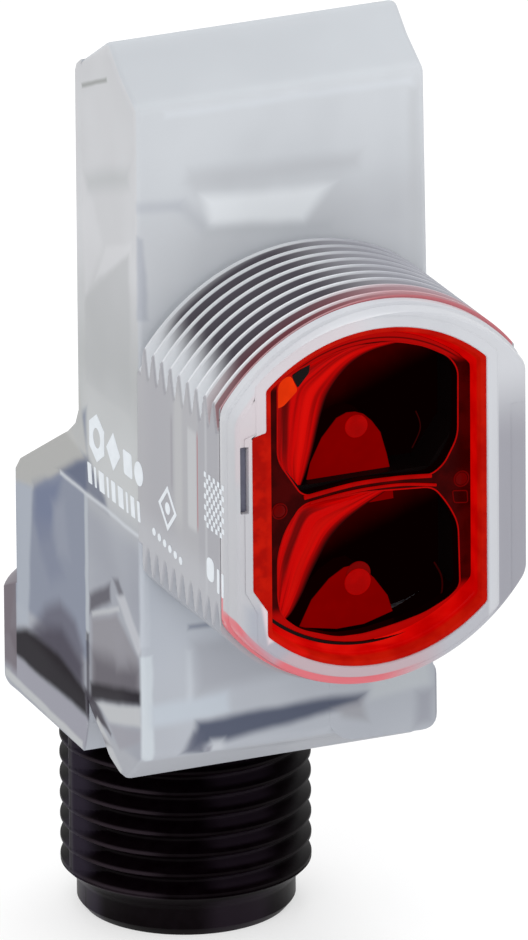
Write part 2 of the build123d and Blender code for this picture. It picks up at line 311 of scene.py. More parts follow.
def ribbon(name, edge_a, edge_b, bulge, thickness, material, rows=90, columns=14):
    """A curved strip between two edges of (X, Y, Z) points, with its place along and across it kept
    as attributes for the material. It bulges towards +Y and has a thickness."""
    first = resample(edge_a, rows)
    second = resample(edge_b, rows)
    bm = bmesh.new()
    along_layer = bm.verts.layers.float.new("along")
    across_layer = bm.verts.layers.float.new("across")
    grids = []
    for back in (0.0, thickness):
        grid = []
        for i in range(rows):
            line = []
            for j in range(columns):
                t = j / (columns - 1)
                point = first[i].lerp(second[i], t)
                point.y += bulge * math.sin(math.pi * t) + back
                vert = bm.verts.new(point)
                vert[along_layer] = i / (rows - 1)
                vert[across_layer] = t
                line.append(vert)
            grid.append(line)
        grids.append(grid)
    front, rear = grids
    for i in range(rows - 1):
        for j in range(columns - 1):
            bm.faces.new((front[i][j], front[i][j + 1], front[i + 1][j + 1], front[i + 1][j]))
            bm.faces.new((rear[i][j], rear[i + 1][j], rear[i + 1][j + 1], rear[i][j + 1]))
    for i in range(rows - 1):
        for j in (0, columns - 1):
            bm.faces.new((front[i][j], front[i + 1][j], rear[i + 1][j], rear[i][j]))
    for j in range(columns - 1):
        for i in (0, rows - 1):
            bm.faces.new((front[i][j], rear[i][j], rear[i][j + 1], front[i][j + 1]))
    return finish_mesh(name, bm, material, 50.0)


# ---------------------------------------------------------------- materials
class Nodes:
    """Short names for the shader nodes of one material."""

    def __init__(self, name):
        self.material = bpy.data.materials.new(name)
        self.material.use_nodes = True
        self.tree = self.material.node_tree
        self.tree.nodes.clear()
        self.output = self.tree.nodes.new("ShaderNodeOutputMaterial")
        self.shader = self.tree.nodes.new("ShaderNodeBsdfPrincipled")
        self.link(self.shader.outputs[0], self.output.inputs[0])
        coordinates = self.tree.nodes.new("ShaderNodeTexCoord")
        split = self.tree.nodes.new("ShaderNodeSeparateXYZ")
        self.where = coordinates.outputs["Object"]
        self.link(self.where, split.inputs[0])
        # Object coordinates in millimetres
        self.x = self.math("MULTIPLY", split.outputs[0], 1000.0)
        self.y = self.math("MULTIPLY", split.outputs[1], 1000.0)
        self.z = self.math("MULTIPLY", split.outputs[2], 1000.0)

    def link(self, source, target):
        self.tree.links.new(source, target)

    def feed(self, value, socket):
        if hasattr(value, "is_output"):
            self.link(value, socket)
        else:
            socket.default_value = value

    def math(self, operation, first, second=0.0, third=0.0, clamp=False):
        node = self.tree.nodes.new("ShaderNodeMath")
        node.operation = operation
        node.use_clamp = clamp
        for socket, value in zip(node.inputs, (first, second, third)):
            self.feed(value, socket)
        return node.outputs[0]

    def times(self, *values):
        result = values[0]
        for value in values[1:]:
            result = self.math("MULTIPLY", result, value)
        return result

    def plane(self, a, b, c, offset):
        """a x + b y + c z + offset."""
        result = offset
        for factor, axis in ((a, self.x), (b, self.y), (c, self.z)):
            if factor:
                result = self.math("ADD", self.math("MULTIPLY", axis, factor), result)
        return result

    def ramp(self, value, low, high, start=0.0, end=1.0):
        """Smooth step of value from start to end as it goes from low to high."""
        node = self.tree.nodes.new("ShaderNodeMapRange")
        node.interpolation_type = "SMOOTHSTEP"
        for socket, item in zip(node.inputs, (value, low, high, start, end)):
            self.feed(item, socket)
        return node.outputs[0]

    def band(self, value, low, high, soft):
        """1 between low and high, fading to 0 over soft on each side."""
        rise = self.ramp(value, low - soft, low + soft)
        fall = self.ramp(value, high - soft, high + soft, 1.0, 0.0)
        return self.math("MULTIPLY", rise, fall)

    def patch(self, a, b, corners, soft=0.25):
        """Mask of a convex patch given by its corners in two of the coordinates."""
        pairs = list(zip(corners, corners[1:] + corners[:1]))
        turn = math.copysign(1.0, sum(p[0] * q[1] - q[0] * p[1] for p, q in pairs))
        inside = None
        for p, q in pairs:
            length = turn * math.hypot(q[0] - p[0], q[1] - p[1])
            normal = ((p[1] - q[1]) / length, (q[0] - p[0]) / length)
            offset = -normal[0] * p[0] - normal[1] * p[1]
            part = self.math("MULTIPLY_ADD", a, normal[0], offset)
            distance = self.math("MULTIPLY_ADD", b, normal[1], part)
            inside = distance if inside is None else self.math("MINIMUM", inside, distance)
        return self.ramp(inside, -soft, soft)

    def noise(self, scale, detail=3.0, stretch=(1, 1, 1), rough=0.5, vector=None):
        mapping = self.tree.nodes.new("ShaderNodeMapping")
        mapping.inputs["Scale"].default_value = stretch
        self.link(vector or self.where, mapping.inputs[0])
        node = self.tree.nodes.new("ShaderNodeTexNoise")
        node.inputs["Scale"].default_value = scale
        node.inputs["Detail"].default_value = detail
        node.inputs["Roughness"].default_value = rough
        self.link(mapping.outputs[0], node.inputs["Vector"])
        return node.outputs[0]

    def attribute(self, name):
        node = self.tree.nodes.new("ShaderNodeAttribute")
        node.attribute_name = name
        return node.outputs["Fac"]

    def combine(self, a, b, c=0.0):
        node = self.tree.nodes.new("ShaderNodeCombineXYZ")
        for socket, value in zip(node.inputs, (a, b, c)):
            self.feed(value, socket)
        return node.outputs[0]

    def mix(self, factor, first, second):
        node = self.tree.nodes.new("ShaderNodeMix")
        node.data_type = "RGBA"
        self.feed(factor, node.inputs["Factor"])
        for socket, value in ((node.inputs[6], first), (node.inputs[7], second)):
            if isinstance(value, tuple):
                socket.default_value = (*value, 1.0)
            else:
                self.link(value, socket)
        return node.outputs[2]

    def paint(self, base, *layers):
        """Lay colours over each other: each layer is a mask and a colour."""
        for mask, color in layers:
            base = self.mix(mask, base, color)
        return base

    def bump(self, height, strength, distance):
        node = self.tree.nodes.new("ShaderNodeBump")
        node.inputs["Strength"].default_value = strength
        node.inputs["Distance"].default_value = distance
        self.link(height, node.inputs["Height"])
        self.link(node.outputs[0], self.shader.inputs["Normal"])

    def set(self, **values):
        for key, value in values.items():
            socket = self.shader.inputs[key.replace("_", " ")]
            if isinstance(value, tuple) and len(value) == 3:
                value = (*value, 1.0)
            self.feed(value, socket)


def plain(name, color, roughness, noise_scale=1500.0, variation=0.2, metallic=0.0, grain=0.1, specular=0.5):
    """Moulded or coated surface with slight colour variation and a fine grain."""
    m = Nodes(name)
    darker = tuple(c * (1 - variation) for c in color)
    m.set(Base_Color=m.mix(m.noise(noise_scale), darker, color), Metallic=metallic, Roughness=roughness)
    m.set(Specular_IOR_Level=specular)
    m.bump(m.noise(noise_scale * 2, 4.0), grain, 0.00002)
    return m.material


def painted_glow(m, color, lit=0.15, glow=0.85, roughness=0.3, specular=0.02):
    """Finish a material of clear red plastic: part of its colour is reflected, part is a painted glow
    (emission) that stands in for light coming through it from inside.
    """
    dim = m.mix(1.0 - lit, color, (0.0, 0.0, 0.0))
    m.set(Base_Color=dim, Emission_Color=color, Emission_Strength=glow)
    m.set(Roughness=roughness, Specular_IOR_Level=specular)
    return m.material


def tone(red, green, blue):
    """A colour given on the usual 0 to 255 scale, as linear values."""
    return tuple(
        (c / 255 / 12.92) if c / 255 <= 0.04045 else ((c / 255 + 0.055) / 1.055) ** 2.4
        for c in (red, green, blue)
    )


def nose_radius(m, stretch=0.0):
    """Distance from the nose's axis, less what its outline is stretched by."""
    height = m.math("ADD", m.z, 0.5 * stretch)
    radius = m.math("SQRT", m.math("ADD", m.times(m.x, m.x), m.times(height, height)))
    diagonal = m.math("DIVIDE", m.math("MULTIPLY", m.times(m.x, height), 2.0), m.times(radius, radius))
    return m.math("SUBTRACT", radius, m.math("MULTIPLY_ADD", diagonal, stretch, 0.8 * stretch))


def line_patch(start, end, half):
    """Corners of a thin straight band between two points."""
    a, b = Vector(start), Vector(end)
    side = (b - a).normalized().orthogonal() * half
    return [tuple(a + side), tuple(b + side), tuple(b - side), tuple(a - side)]


# What shows through the milky plastic low on the left side, with painted highlights as light lines along its
# edges and seam, as corners (Y, Z), softness, colour and strength
SIDE_SHAPES = [
    ([(15.0, -5.6), (6.2, -0.4), (6.2, -13.0), (15.0, -13.0)], 0.3, (131, 137, 152), 0.95),
    ([(14.8, -7.0), (14.8, -5.5), (8.5, -1.8), (6.4, -2.9), (12.7, -6.5)], 0.2, (170, 170, 168), 0.95),
    ([(8.6, -2.4), (7.0, 0.4), (6.1, -2.8)], 0.25, (180, 181, 180), 0.9),
    ([(12.6, -6.3), (9.3, -4.9), (10.8, -8.4), (11.9, -8.9), (12.6, -8.0)], 0.5, (106, 115, 140), 0.8),
    ([(12.2, -7.9), (10.9, -7.6), (9.2, -9.7), (10.6, -10.6), (11.9, -9.4)], 0.6, (120, 126, 144), 0.7),
    ([(10.4, -6.5), (9.0, -6.0), (8.4, -8.6), (9.8, -8.9)], 0.5, (142, 147, 160), 0.7),
    ([(14.8, -6.9), (12.8, -6.4), (13.5, -13.7), (14.8, -14.1)], 0.25, (166, 172, 182), 0.85),
    ([(9.2, -4.4), (6.1, -2.7), (4.0, -4.1), (3.8, -4.7)], 0.35, (80, 88, 112), 0.7),
    ([(6.0, -9.6), (3.6, -8.3), (3.5, -9.1), (6.0, -10.5)], 0.25, (82, 79, 88), 0.85),
    ([(3.2, -7.9), (2.6, -7.7), (2.0, -8.2), (2.5, -8.5)], 0.2, (86, 84, 92), 0.7),
    ([(2.8, -8.6), (1.9, -8.2), (-0.3, -10.2), (0.3, -10.8)], 0.2, (182, 184, 190), 0.9),
    (line_patch((5.7, -10.5), (2.5, -9.1), 0.12), 0.12, (180, 182, 186), 0.9),
    ([(5.8, -10.7), (2.8, -9.5), (0.3, -10.9), (0.2, -12.6), (5.8, -14.2)], 0.3, (136, 134, 140), 0.85),
    ([(5.8, -12.4), (0.2, -11.4), (0.2, -13.0), (5.8, -14.6)], 0.7, (88, 84, 92), 0.8),
    ([(3.3, -10.4), (2.1, -10.1), (1.6, -11.8), (2.8, -12.2)], 0.5, (142, 141, 148), 0.6),
    ([(13.2, -13.9), (11.4, -12.1), (9.6, -11.2), (7.8, -11.6), (6.8, -12.6), (6.9, -14.5)], 0.5,
     (96, 95, 108), 0.85),
    ([(13.4, -14.2), (11.2, -13.0), (9.4, -12.5), (6.9, -13.4), (6.9, -15.0)], 0.5, (66, 62, 74), 0.8),
    ([(15.9, -14.7), (13.7, -14.0), (10.0, -13.9), (6.5, -14.7), (6.5, -15.9), (15.0, -15.8)], 0.3,
     (22, 15, 22), 0.95),
    ([(6.0, -14.0), (0.1, -12.5), (0.1, -13.2), (6.0, -14.9)], 0.25, (26, 20, 28), 0.92),
    ([(6.7, -14.5), (5.4, -14.7), (3.9, -15.7), (6.5, -16.0)], 0.25, (50, 44, 54), 0.85),
    ([(16.4, -12.4), (14.9, -11.4), (14.8, -14.1), (15.8, -14.8), (16.5, -17.0)], 0.2, (122, 115, 122), 0.95),
    ([(15.0, -15.8), (6.5, -16.0), (6.6, -17.6), (15.7, -16.8)], 0.2, (150, 150, 160), 0.95),
    (line_patch((16.3, -17.0), (7.1, -17.6), 0.22), 0.12, (182, 184, 186), 0.9),
    ([(5.2, -14.8), (0.1, -13.3), (0.1, -14.3), (3.8, -15.3)], 0.18, (182, 184, 187), 0.95),
    ([(3.8, -15.4), (0.1, -14.5), (0.1, -15.0), (2.6, -16.3)], 0.2, (150, 150, 158), 0.9),
    (line_patch((5.4, -15.8), (2.6, -17.5), 0.35), 0.15, (182, 184, 187), 0.9),
    ([(6.1, -16.0), (3.8, -16.5), (6.0, -17.2)], 0.2, (112, 110, 118), 0.8),
    (line_patch((6.3, -4.7), (6.3, -12.0), 0.2), 0.12, (172, 177, 184), 0.95),
    (line_patch((6.3, -11.6), (6.3, -15.7), 0.16), 0.16, (52, 48, 58), 0.8),
    (line_patch((5.6, -15.3), (3.6, -15.9), 0.10), 0.12, (70, 66, 74), 0.7),
    (line_patch((9.4, -4.6), (0.0, -4.7), 0.10), 0.12, (196, 200, 206), 0.85),
    (line_patch((6.3, 15.7), (3.3, 16.9), 0.10), 0.10, (152, 154, 152), 0.8),
    ([(6.0, 11.4), (0.9, 13.3), (0.9, 12.4), (5.8, 10.6)], 0.5, (184, 187, 189), 0.7),
    ([(0.6, 9.7), (3.6, 8.6), (4.8, 6.6), (0.7, 9.1)], 0.2, (212, 213, 216), 0.7),
    ([(6.4, 11.1), (5.0, 10.2), (4.0, 8.4), (6.2, 5.2)], 0.3, (210, 211, 214), 0.5),
    ([(0.9, 9.1), (6.2, 5.3), (6.2, 1.0), (0.9, 1.0)], 0.25, (180, 182, 184), 0.55),
]
# The same on the front face, as corners (X, Z); among them painted highlights along the top edge and down the
# left edge, and a painted light patch above the nose
FRONT_SHAPES = [
    ([(-5.0, 12.5), (-4.8, 13.1), (3.9, 12.7), (3.8, 12.0), (-4.5, 12.0)], 0.45, (188, 191, 196), 0.6),
    ([(-4.1, 11.7), (2.4, 11.3), (1.0, 9.7), (-3.8, 10.3)], 0.4, (232, 236, 240), 0.85),
    (line_patch((-7.5, 11.6), (-5.2, 11.4), 0.25), 0.25, (184, 188, 196), 0.7),
    (line_patch((-5.2, 11.4), (-4.0, 10.1), 0.25), 0.35, (186, 190, 197), 0.6),
    (line_patch((-4.0, 9.9), (2.4, 9.3), 0.22), 0.35, (186, 190, 195), 0.5),
    (line_patch((-6.0, 16.0), (6.6, 15.9), 0.18), 0.2, (214, 219, 225), 0.6),
    ([(-7.5, 10.2), (-7.2, 10.0), (-6.9, 6.0), (-7.5, 6.0)], 0.15, (172, 176, 186), 0.7),
    ([(6.4, 15.5), (6.9, 15.5), (6.9, 5.0), (6.4, 5.0)], 0.25, (192, 195, 199), 0.5),
    ([(-7.5, -5.0), (-7.0, -5.0), (-7.0, -10.3), (-7.5, -10.3)], 0.12, (184, 189, 197), 0.8),
    ([(-7.5, -10.8), (-6.9, -10.8), (-6.9, -16.3), (-7.5, -16.3)], 0.12, (196, 203, 209), 0.9),
    (line_patch((-5.0, -10.8), (-5.0, -13.4), 0.15), 0.2, (192, 197, 204), 0.8),
    (line_patch((-7.0, -13.8), (-3.0, -13.6), 0.55), 0.3, (186, 194, 203), 0.85),
    ([(-4.8, -10.4), (-3.0, -10.3), (0.0, -12.6), (-4.6, -13.0)], 0.5, (158, 160, 168), 0.7),
    ([(-4.9, -15.7), (-4.7, -14.3), (-3.8, -14.1), (1.2, -14.2), (4.0, -14.1), (3.6, -14.7), (0.4, -15.2)],
     0.3, (78, 84, 102), 0.95),
    ([(-5.4, -15.9), (-4.9, -14.9), (-4.4, -15.0), (-4.2, -16.1)], 0.25, (92, 96, 112), 0.8),
    ([(-3.9, -15.4), (-3.3, -15.4), (-3.3, -16.1), (-4.1, -16.0)], 0.25, (188, 192, 198), 0.8),
    ([(-4.2, -15.7), (-3.9, -15.7), (-3.9, -16.1), (-4.2, -16.1)], 0.12, (128, 128, 140), 0.7),
    ([(2.4, -14.8), (3.8, -14.5), (4.0, -15.6), (2.8, -15.3)], 0.3, (150, 150, 156), 0.7),
    ([(4.2, -12.8), (7.1, -12.6), (7.1, -14.3), (4.2, -14.6)], 0.3, (186, 191, 195), 0.7),
    ([(6.5, -14.6), (7.3, -14.5), (7.3, -16.2), (6.4, -16.3)], 0.35, (150, 152, 162), 0.7),
    (line_patch((-5.1, -9.6), (-3.9, -9.6), 0.12), 0.15, (128, 134, 150), 0.8),
]


def shell_plastic(name):
    """Milky clear polycarbonate of the housing, darker towards the bottom, with the soft shapes of what lies
    behind it, painted highlights along its edges and painted shade on its top chamfer.
    """
    m = Nodes(name)
    cloud = m.ramp(m.noise(150.0, 2.0), 0.35, 0.65)
    front = m.ramp(m.y, 0.08, 0.3, 1.0, 0.0)
    side = m.ramp(m.math("ABSOLUTE", m.x), 7.38, 7.46)
    top = m.times(m.ramp(m.z, 16.2, 16.8), m.ramp(m.math("ABSOLUTE", m.x), 7.46, 7.38))
    foot = m.times(m.ramp(m.z, -15.9, -16.3), m.ramp(m.y, 7.0, 6.0))
    wander = m.math("MULTIPLY_ADD", m.noise(500.0, 2.0), 0.3, -0.15)
    y = m.math("ADD", m.y, wander)
    x = m.math("ADD", m.x, wander)
    z = m.math("MULTIPLY_ADD", m.noise(400.0, 2.0), 0.3, m.math("ADD", m.z, -0.15))
    low_front = m.mix(m.ramp(m.z, -9.0, -14.5), tone(176, 181, 190), tone(172, 176, 184))
    face = m.mix(m.ramp(m.z, -6.0, 9.0), low_front, tone(196, 199, 204))
    face = m.mix(m.ramp(m.z, 9.0, 13.0), face, tone(204, 208, 213))
    flank = m.mix(m.ramp(m.z, -6.0, -3.0), tone(152, 155, 164), tone(183, 185, 186))
    flank = m.mix(m.ramp(m.z, 2.0, 9.0), flank, tone(203, 204, 207))
    base = m.paint(
        face,
        (side, flank),
        (m.times(cloud, 0.10), tone(222, 226, 230)),
        # Painted shade: the top chamfer darker
        (m.times(top, 0.9), tone(192, 196, 201)),
        (m.times(foot, m.math("SUBTRACT", 1.0, front), 0.7), tone(166, 168, 174)),
    )
    shapes = ((SIDE_SHAPES, side, y), (FRONT_SHAPES, front, x))
    for shape_list, where, sideways in shapes:
        for corners, soft, color, strength in shape_list:
            mask = m.times(m.patch(sideways, z, corners, soft), where, strength)
            base = m.mix(mask, base, tone(*color))
    outer = m.ramp(m.math("ABSOLUTE", m.x), 6.0, 6.6)
    boss = m.times(m.ramp(m.y, 14.85, 15.0), m.ramp(m.z, -11.2, -11.8), outer)
    above_rim = m.math("SUBTRACT", 1.0, m.ramp(m.z, -16.2, -17.0))
    base = m.mix(m.times(boss, above_rim, 0.9), base, tone(112, 105, 112))
    opacity = m.math("ADD", m.ramp(m.z, -4.0, 3.0, 1.0, 0.88), m.times(cloud, 0.05), clamp=True)
    m.set(Base_Color=base, Roughness=0.32, IOR=1.5, Alpha=opacity, Specular_IOR_Level=0.01)
    m.bump(m.noise(700.0, 2.0), 0.04, 0.00002)
    return m.material


def nose_plastic(name):
    """Clear plastic of the nose: darker in the thread's valleys on the upper left, with painted shade low
    down and on the upper right, painted red light near the window, and painted light and shade on the darker
    flats.
    """
    m = Nodes(name)
    radius = nose_radius(m, NOSE_STRETCH)
    wide = m.math("ABSOLUTE", m.x)
    flat = m.ramp(wide, 7.38, 7.46)
    round_part = m.math("SUBTRACT", 1.0, flat)
    valley = m.ramp(radius, 8.95, 8.89)
    upper_left_zone = m.times(
        m.ramp(m.x, -7.0, -5.6), m.ramp(m.x, -1.5, 3.8, 1.0, 0.22), m.ramp(m.z, 1.5, 4.5)
    )
    rear = m.ramp(m.y, -1.0, -0.7, 1.0, 0.0)
    dark = m.times(valley, upper_left_zone, round_part, rear)
    # Painted red light from the window: a pink zone near it, darker in the valleys, and a bright red line at
    # the thread's front end
    near_red = m.times(m.ramp(m.y, -7.3, -8.6), round_part, m.ramp(m.z, 1.0, 4.0))
    line = m.times(m.band(m.y, -9.45, -9.28, 0.04), round_part, m.ramp(m.z, 1.5, 4.0))
    # Painted shade: darker low down, and darker on the upper right
    base = m.mix(m.ramp(m.z, -2.0, 6.0), tone(170, 173, 180), tone(212, 215, 219))
    base = m.paint(
        base,
        (m.times(m.ramp(m.x, -1.0, 3.5), m.ramp(m.z, 3.0, 6.0), 0.85), tone(164, 165, 174)),
        (m.times(dark, 0.97), tone(74, 68, 78)),
        (m.times(near_red, valley, m.ramp(m.x, 2.0, -2.0), 0.8), tone(122, 62, 70)),
        (m.times(near_red, m.ramp(m.x, -4.0, 2.0), 0.75), tone(192, 130, 136)),
        (m.times(line, 0.85), tone(200, 44, 56)),
    )
    rear_shade = m.times(m.band(m.y, -4.1, -1.0, 1.0), 0.6)
    shade = m.math("ADD", rear_shade, m.times(m.band(m.y, -9.3, -7.0, 0.15), 0.8))
    bright = m.times(m.band(m.y, -6.75, -5.75, 0.12), m.band(m.z, -2.2, 2.7, 0.2))
    streak = m.times(m.band(m.y, -6.95, -6.83, 0.04), m.band(m.z, -2.0, 2.7, 0.3))
    soft_bar = m.times(m.band(m.y, -5.1, -4.2, 0.25), m.band(m.z, -2.5, 4.0, 0.8))
    dark_bar = m.times(m.band(m.y, -4.0, -3.75, 0.1), m.band(m.z, -1.0, 2.6, 0.4))
    gleam = m.band(m.y, -8.0, -7.75, 0.1)
    # On the darker flats: painted shade at the back and front, a lighter and a darker bar, a bright band and
    # a gleam as painted highlights, a red streak of painted red light, lighter towards the bottom
    base = m.paint(
        base,
        (m.times(flat, 0.95), tone(161, 161, 166)),
        (m.times(flat, shade, 0.5), tone(146, 146, 155)),
        (m.times(flat, soft_bar, 0.7), tone(176, 177, 179)),
        (m.times(flat, dark_bar, 0.5), tone(132, 130, 138)),
        (m.times(flat, bright, 0.85), tone(182, 184, 187)),
        (m.times(flat, streak, 0.7), tone(164, 84, 88)),
        (m.times(flat, gleam, 0.5), tone(184, 186, 190)),
        (m.times(flat, m.ramp(m.z, -2.6, -4.4), 0.6), tone(176, 178, 184)),
    )
    m.set(Base_Color=base, Roughness=0.28, IOR=1.5, Alpha=0.97, Specular_IOR_Level=0.18)
    m.bump(m.noise(500.0, 2.0), 0.03, 0.00002)
    return m.material


def bezel_plastic(name, rim):
    """Clear plastic of the end ring, darker towards the bottom, with painted shade on its right, painted pink
    and red light where the red block is near, and a painted highlight by the ear.
    The rim round the window is lighter on its right side, a painted highlight."""
    m = Nodes(name)
    cloud = m.ramp(m.noise(260.0, 2.0, (1, 1, 0.6)), 0.4, 0.62)
    right = m.times(m.ramp(m.x, 5.4, 6.1), m.ramp(m.z, 5.6, 1.5))
    left = m.times(m.ramp(m.x, -5.0, -5.9), m.ramp(m.z, 6.0, 3.0))
    low_line = m.times(m.band(m.y, -9.75, -9.4, 0.05), m.ramp(m.z, -3.0, -4.5), m.ramp(m.x, 2.0, -0.5))
    low = m.times(m.ramp(m.z, -5.6, -6.8), m.ramp(m.x, 3.6, 1.6), m.ramp(m.y, -10.4, -10.9))
    corner = m.ramp(m.plane(-0.6, 0, 1, 0), 5.4, 6.6)
    upper_left = m.times(corner, m.ramp(m.x, 0.0, -2.0), m.ramp(m.y, -10.9, -11.1))
    edge_low = m.times(
        m.ramp(nose_radius(m, BEZEL_STRETCH), 8.56, 8.62), m.ramp(m.z, -4.6, -5.4), m.ramp(m.x, 2.5, -0.5)
    )
    front = m.ramp(m.y, -10.8, -11.0)
    blue = [(-6.9, -4.6), (-5.7, -4.7), (-4.6, -7.0), (-5.6, -7.6), (-6.9, -6.0)]
    glint = [(-6.2, -4.5), (-5.8, -4.7), (-5.55, -6.4), (-5.85, -6.5)]
    # Painted shade on the right, painted pink and red light from the red block, a painted highlight (glint)
    # by the ear
    base = m.paint(
        m.mix(m.ramp(m.z, -4.0, 6.0), tone(174, 175, 182), tone(197, 199, 204)),
        (m.times(left, 0.7), tone(186, 187, 191)),
        (m.times(right, 0.95), tone(150, 150, 158)),
        (m.times(cloud, 0.12), tone(150, 152, 162)),
        (m.times(upper_left, 0.25), tone(216, 184, 188)),
        (m.times(low, 0.45), tone(188, 142, 148)),
        (m.times(low_line, 0.85), tone(212, 92, 102)),
        (m.times(edge_low, 0.85), tone(212, 92, 102)),
        (m.times(m.patch(m.x, m.z, blue, 0.4), front, 0.7), tone(156, 162, 174)),
        (m.times(m.patch(m.x, m.z, glint, 0.12), front, 0.8), tone(222, 204, 208)),
    )
    if rim:
        # Painted highlight on the rim's right side
        pale = m.times(m.ramp(m.x, 5.3, 5.5), m.ramp(m.z, 6.4, 5.6))
        base = m.paint(base, (m.times(pale, 0.85), tone(198, 200, 205)))
    m.set(Base_Color=base, Roughness=0.22, IOR=1.5, Alpha=0.97, Specular_IOR_Level=0.22)
    m.bump(m.noise(420.0, 2.0), 0.04, 0.00002)
    return m.material


def rim_red(name):
    """Wall of the red block, shown partly by painted glow: orange where it is thin at the front, pure red
    deeper in.
    """
    m = Nodes(name)
    deep = m.ramp(m.y, -10.75, -10.45)
    grain = m.ramp(m.noise(900.0, 3.0), 0.3, 0.7)
    low = m.ramp(m.z, -5.5, -7.5)
    front = m.mix(grain, tone(172, 10, 3), tone(192, 22, 6))
    inner = m.mix(grain, tone(184, 0, 0), tone(206, 4, 2))
    ear = m.times(m.ramp(m.x, -5.7, -5.95), m.ramp(m.y, -10.98, -11.05))
    base = m.paint(
        m.mix(deep, front, inner),
        (m.times(low, m.ramp(m.noise(500.0, 2.0, (0.5, 1, 1)), 0.45, 0.6), 0.7), tone(226, 20, 12)),
        (m.times(ear, m.ramp(m.noise(1400.0, 3.0), 0.4, 0.6), 0.6), tone(150, 8, 4)),
    )
    return painted_glow(m, base)


def mask_red(name):
    """Black mask seen through the red block, in painted glow: a painted bright red ring of light round the
    openings at the top and bottom, and its sides and back painted near black as shade.
    """
    m = Nodes(name)
    radius = nose_radius(m)
    grain = m.ramp(m.noise(800.0, 3.0), 0.35, 0.65)
    base = m.mix(grain, tone(46, 0, 0), tone(66, 1, 1))
    ring = m.band(radius, 7.02, 8.0, 0.03)
    line = m.band(radius, 7.17, 7.24, 0.02)
    inside = m.ramp(m.math("ABSOLUTE", m.z), 5.3, 5.9)
    base = m.paint(
        base,
        (m.times(ring, inside, 0.95), tone(176, 4, 2)),
        (m.times(line, inside, 0.8), tone(70, 0, 0)),
        # Sides and back of the plate painted near black as shade
        (m.ramp(m.y, MASK_FRONT + 0.02, MASK_FRONT + 0.06), tone(8, 0, 0)),
    )
    return painted_glow(m, base)


def bright_red(name, color, glow=0.85):
    """Lit edge or facet in the red block, its light painted as a glow."""
    m = Nodes(name)
    grain = m.ramp(m.noise(1200.0, 2.0), 0.3, 0.7)
    base = m.mix(grain, tuple(c * 0.8 for c in color), color)
    return painted_glow(m, base, 0.15, glow)


def wall_red(name, dark_streak, seed):
    """Curved tunnel wall in painted light: streaks of painted reflected light run along it, with a painted
    highlight and a darker streak, and painted shade fades it to black at the inner edge.
    """
    m = Nodes(name)
    along = m.attribute("along")
    side = m.attribute("across")
    streaks = m.noise(1.0, 2.0, (7.0, 1.1, 1.0), 0.5, m.combine(side, along, seed))
    fine = m.noise(1.0, 3.0, (26.0, 2.5, 1.0), 0.5, m.combine(side, along, seed + 3.0))
    amount = m.math("ADD", m.ramp(streaks, 0.36, 0.62), m.times(m.ramp(fine, 0.4, 0.7), 0.2), clamp=True)
    base = m.mix(amount, tone(132, 0, 0), tone(196, 2, 1))
    wander = m.math("ADD", side, m.times(along, -0.25))
    streak = m.times(m.band(wander, *dark_streak[:2], 0.05), m.band(along, *dark_streak[2:], 0.1))
    gleam = m.times(m.band(side, 0.66, 0.80, 0.10), m.band(along, 0.25, 0.95, 0.15))
    base = m.paint(
        base,
        (m.times(gleam, 0.7), tone(222, 14, 6)),
        (m.times(streak, 0.85), tone(84, 0, 0)),
        (m.ramp(side, 0.88, 1.0), tone(26, 0, 0)),
    )
    return painted_glow(m, base)


def pocket_black(name):
    """Bottom of a light tunnel: black, with a faint red zone of painted glow fading along a slant under its
    top edge.
    """
    m = Nodes(name)
    upper = m.times(m.ramp(m.plane(-0.38, 0, 1, -2.7), 0.3, 2.6), m.ramp(m.z, 1.0, 1.4))
    lower = m.times(m.ramp(m.plane(-0.36, 0, 1, 4.3), 0.2, 2.4), m.ramp(m.z, -1.1, -1.4))
    zone = m.math("ADD", upper, lower, clamp=True)
    grain = m.ramp(m.noise(600.0, 3.0), 0.35, 0.7, 0.6, 1.0)
    base = m.mix(m.times(zone, grain), tone(6, 0, 0), tone(62, 0, 0))
    return painted_glow(m, base, 0.1, 0.9, 0.4, 0.0)


def dark_body(name, color):
    """A dull red shape with a painted glow on its front, its sides and back painted black as shade."""
    m = Nodes(name)
    behind = m.ramp(m.y, OPTIC_FRONT + 0.02, OPTIC_FRONT + 0.1)
    grain = m.ramp(m.noise(900.0, 3.0), 0.3, 0.7)
    base = m.mix(grain, tuple(c * 0.9 for c in color), color)
    return painted_glow(m, m.mix(behind, base, tone(12, 0, 0)), 0.1, 0.9, 0.4, 0.0)


CLEAR = shell_plastic("clear_polycarbonate")
NOSE_CLEAR = nose_plastic("nose_polycarbonate")
BEZEL_CLEAR = bezel_plastic("bezel_polycarbonate", False)
BEZEL_RIM = bezel_plastic("bezel_rim", True)
# Painted shade inside the left latch slot
SLOT_SHADE = plain("latch_slot", tone(104, 104, 122), 0.5, 2500.0, 0.3)
BLACK = plain("plug_black", tone(9, 5, 8), 0.5, specular=0.05)
OPTIC_BLACK = plain("optic_black", tone(10, 3, 3), 0.5, specular=0.1)
WHITE_BOARD = plain("board_white", tone(214, 217, 220), 0.5)
CHIP = plain("chip_black", tone(60, 60, 64), 0.5)
CERAMIC = plain("ceramic_tan", (0.45, 0.36, 0.27), 0.5)
FLEX = plain("flex_amber", (0.50, 0.26, 0.07), 0.3)
GOLD = plain("contact_gold", (0.83, 0.62, 0.28), 0.28, metallic=1.0, grain=0.02)
TINNED = plain("tinned_wire", (0.72, 0.72, 0.74), 0.35, metallic=1.0)
LAMP = plain("lamp_white", (0.85, 0.85, 0.80), 0.35)
SEAL = plain("seal_rubber", (0.02, 0.02, 0.02), 0.6)
CLEAR_LENS = plain("lens_clear", (0.6, 0.62, 0.65), 0.1)
MARK_WHITE = plain("printed_white", tone(226, 232, 238), 0.5)

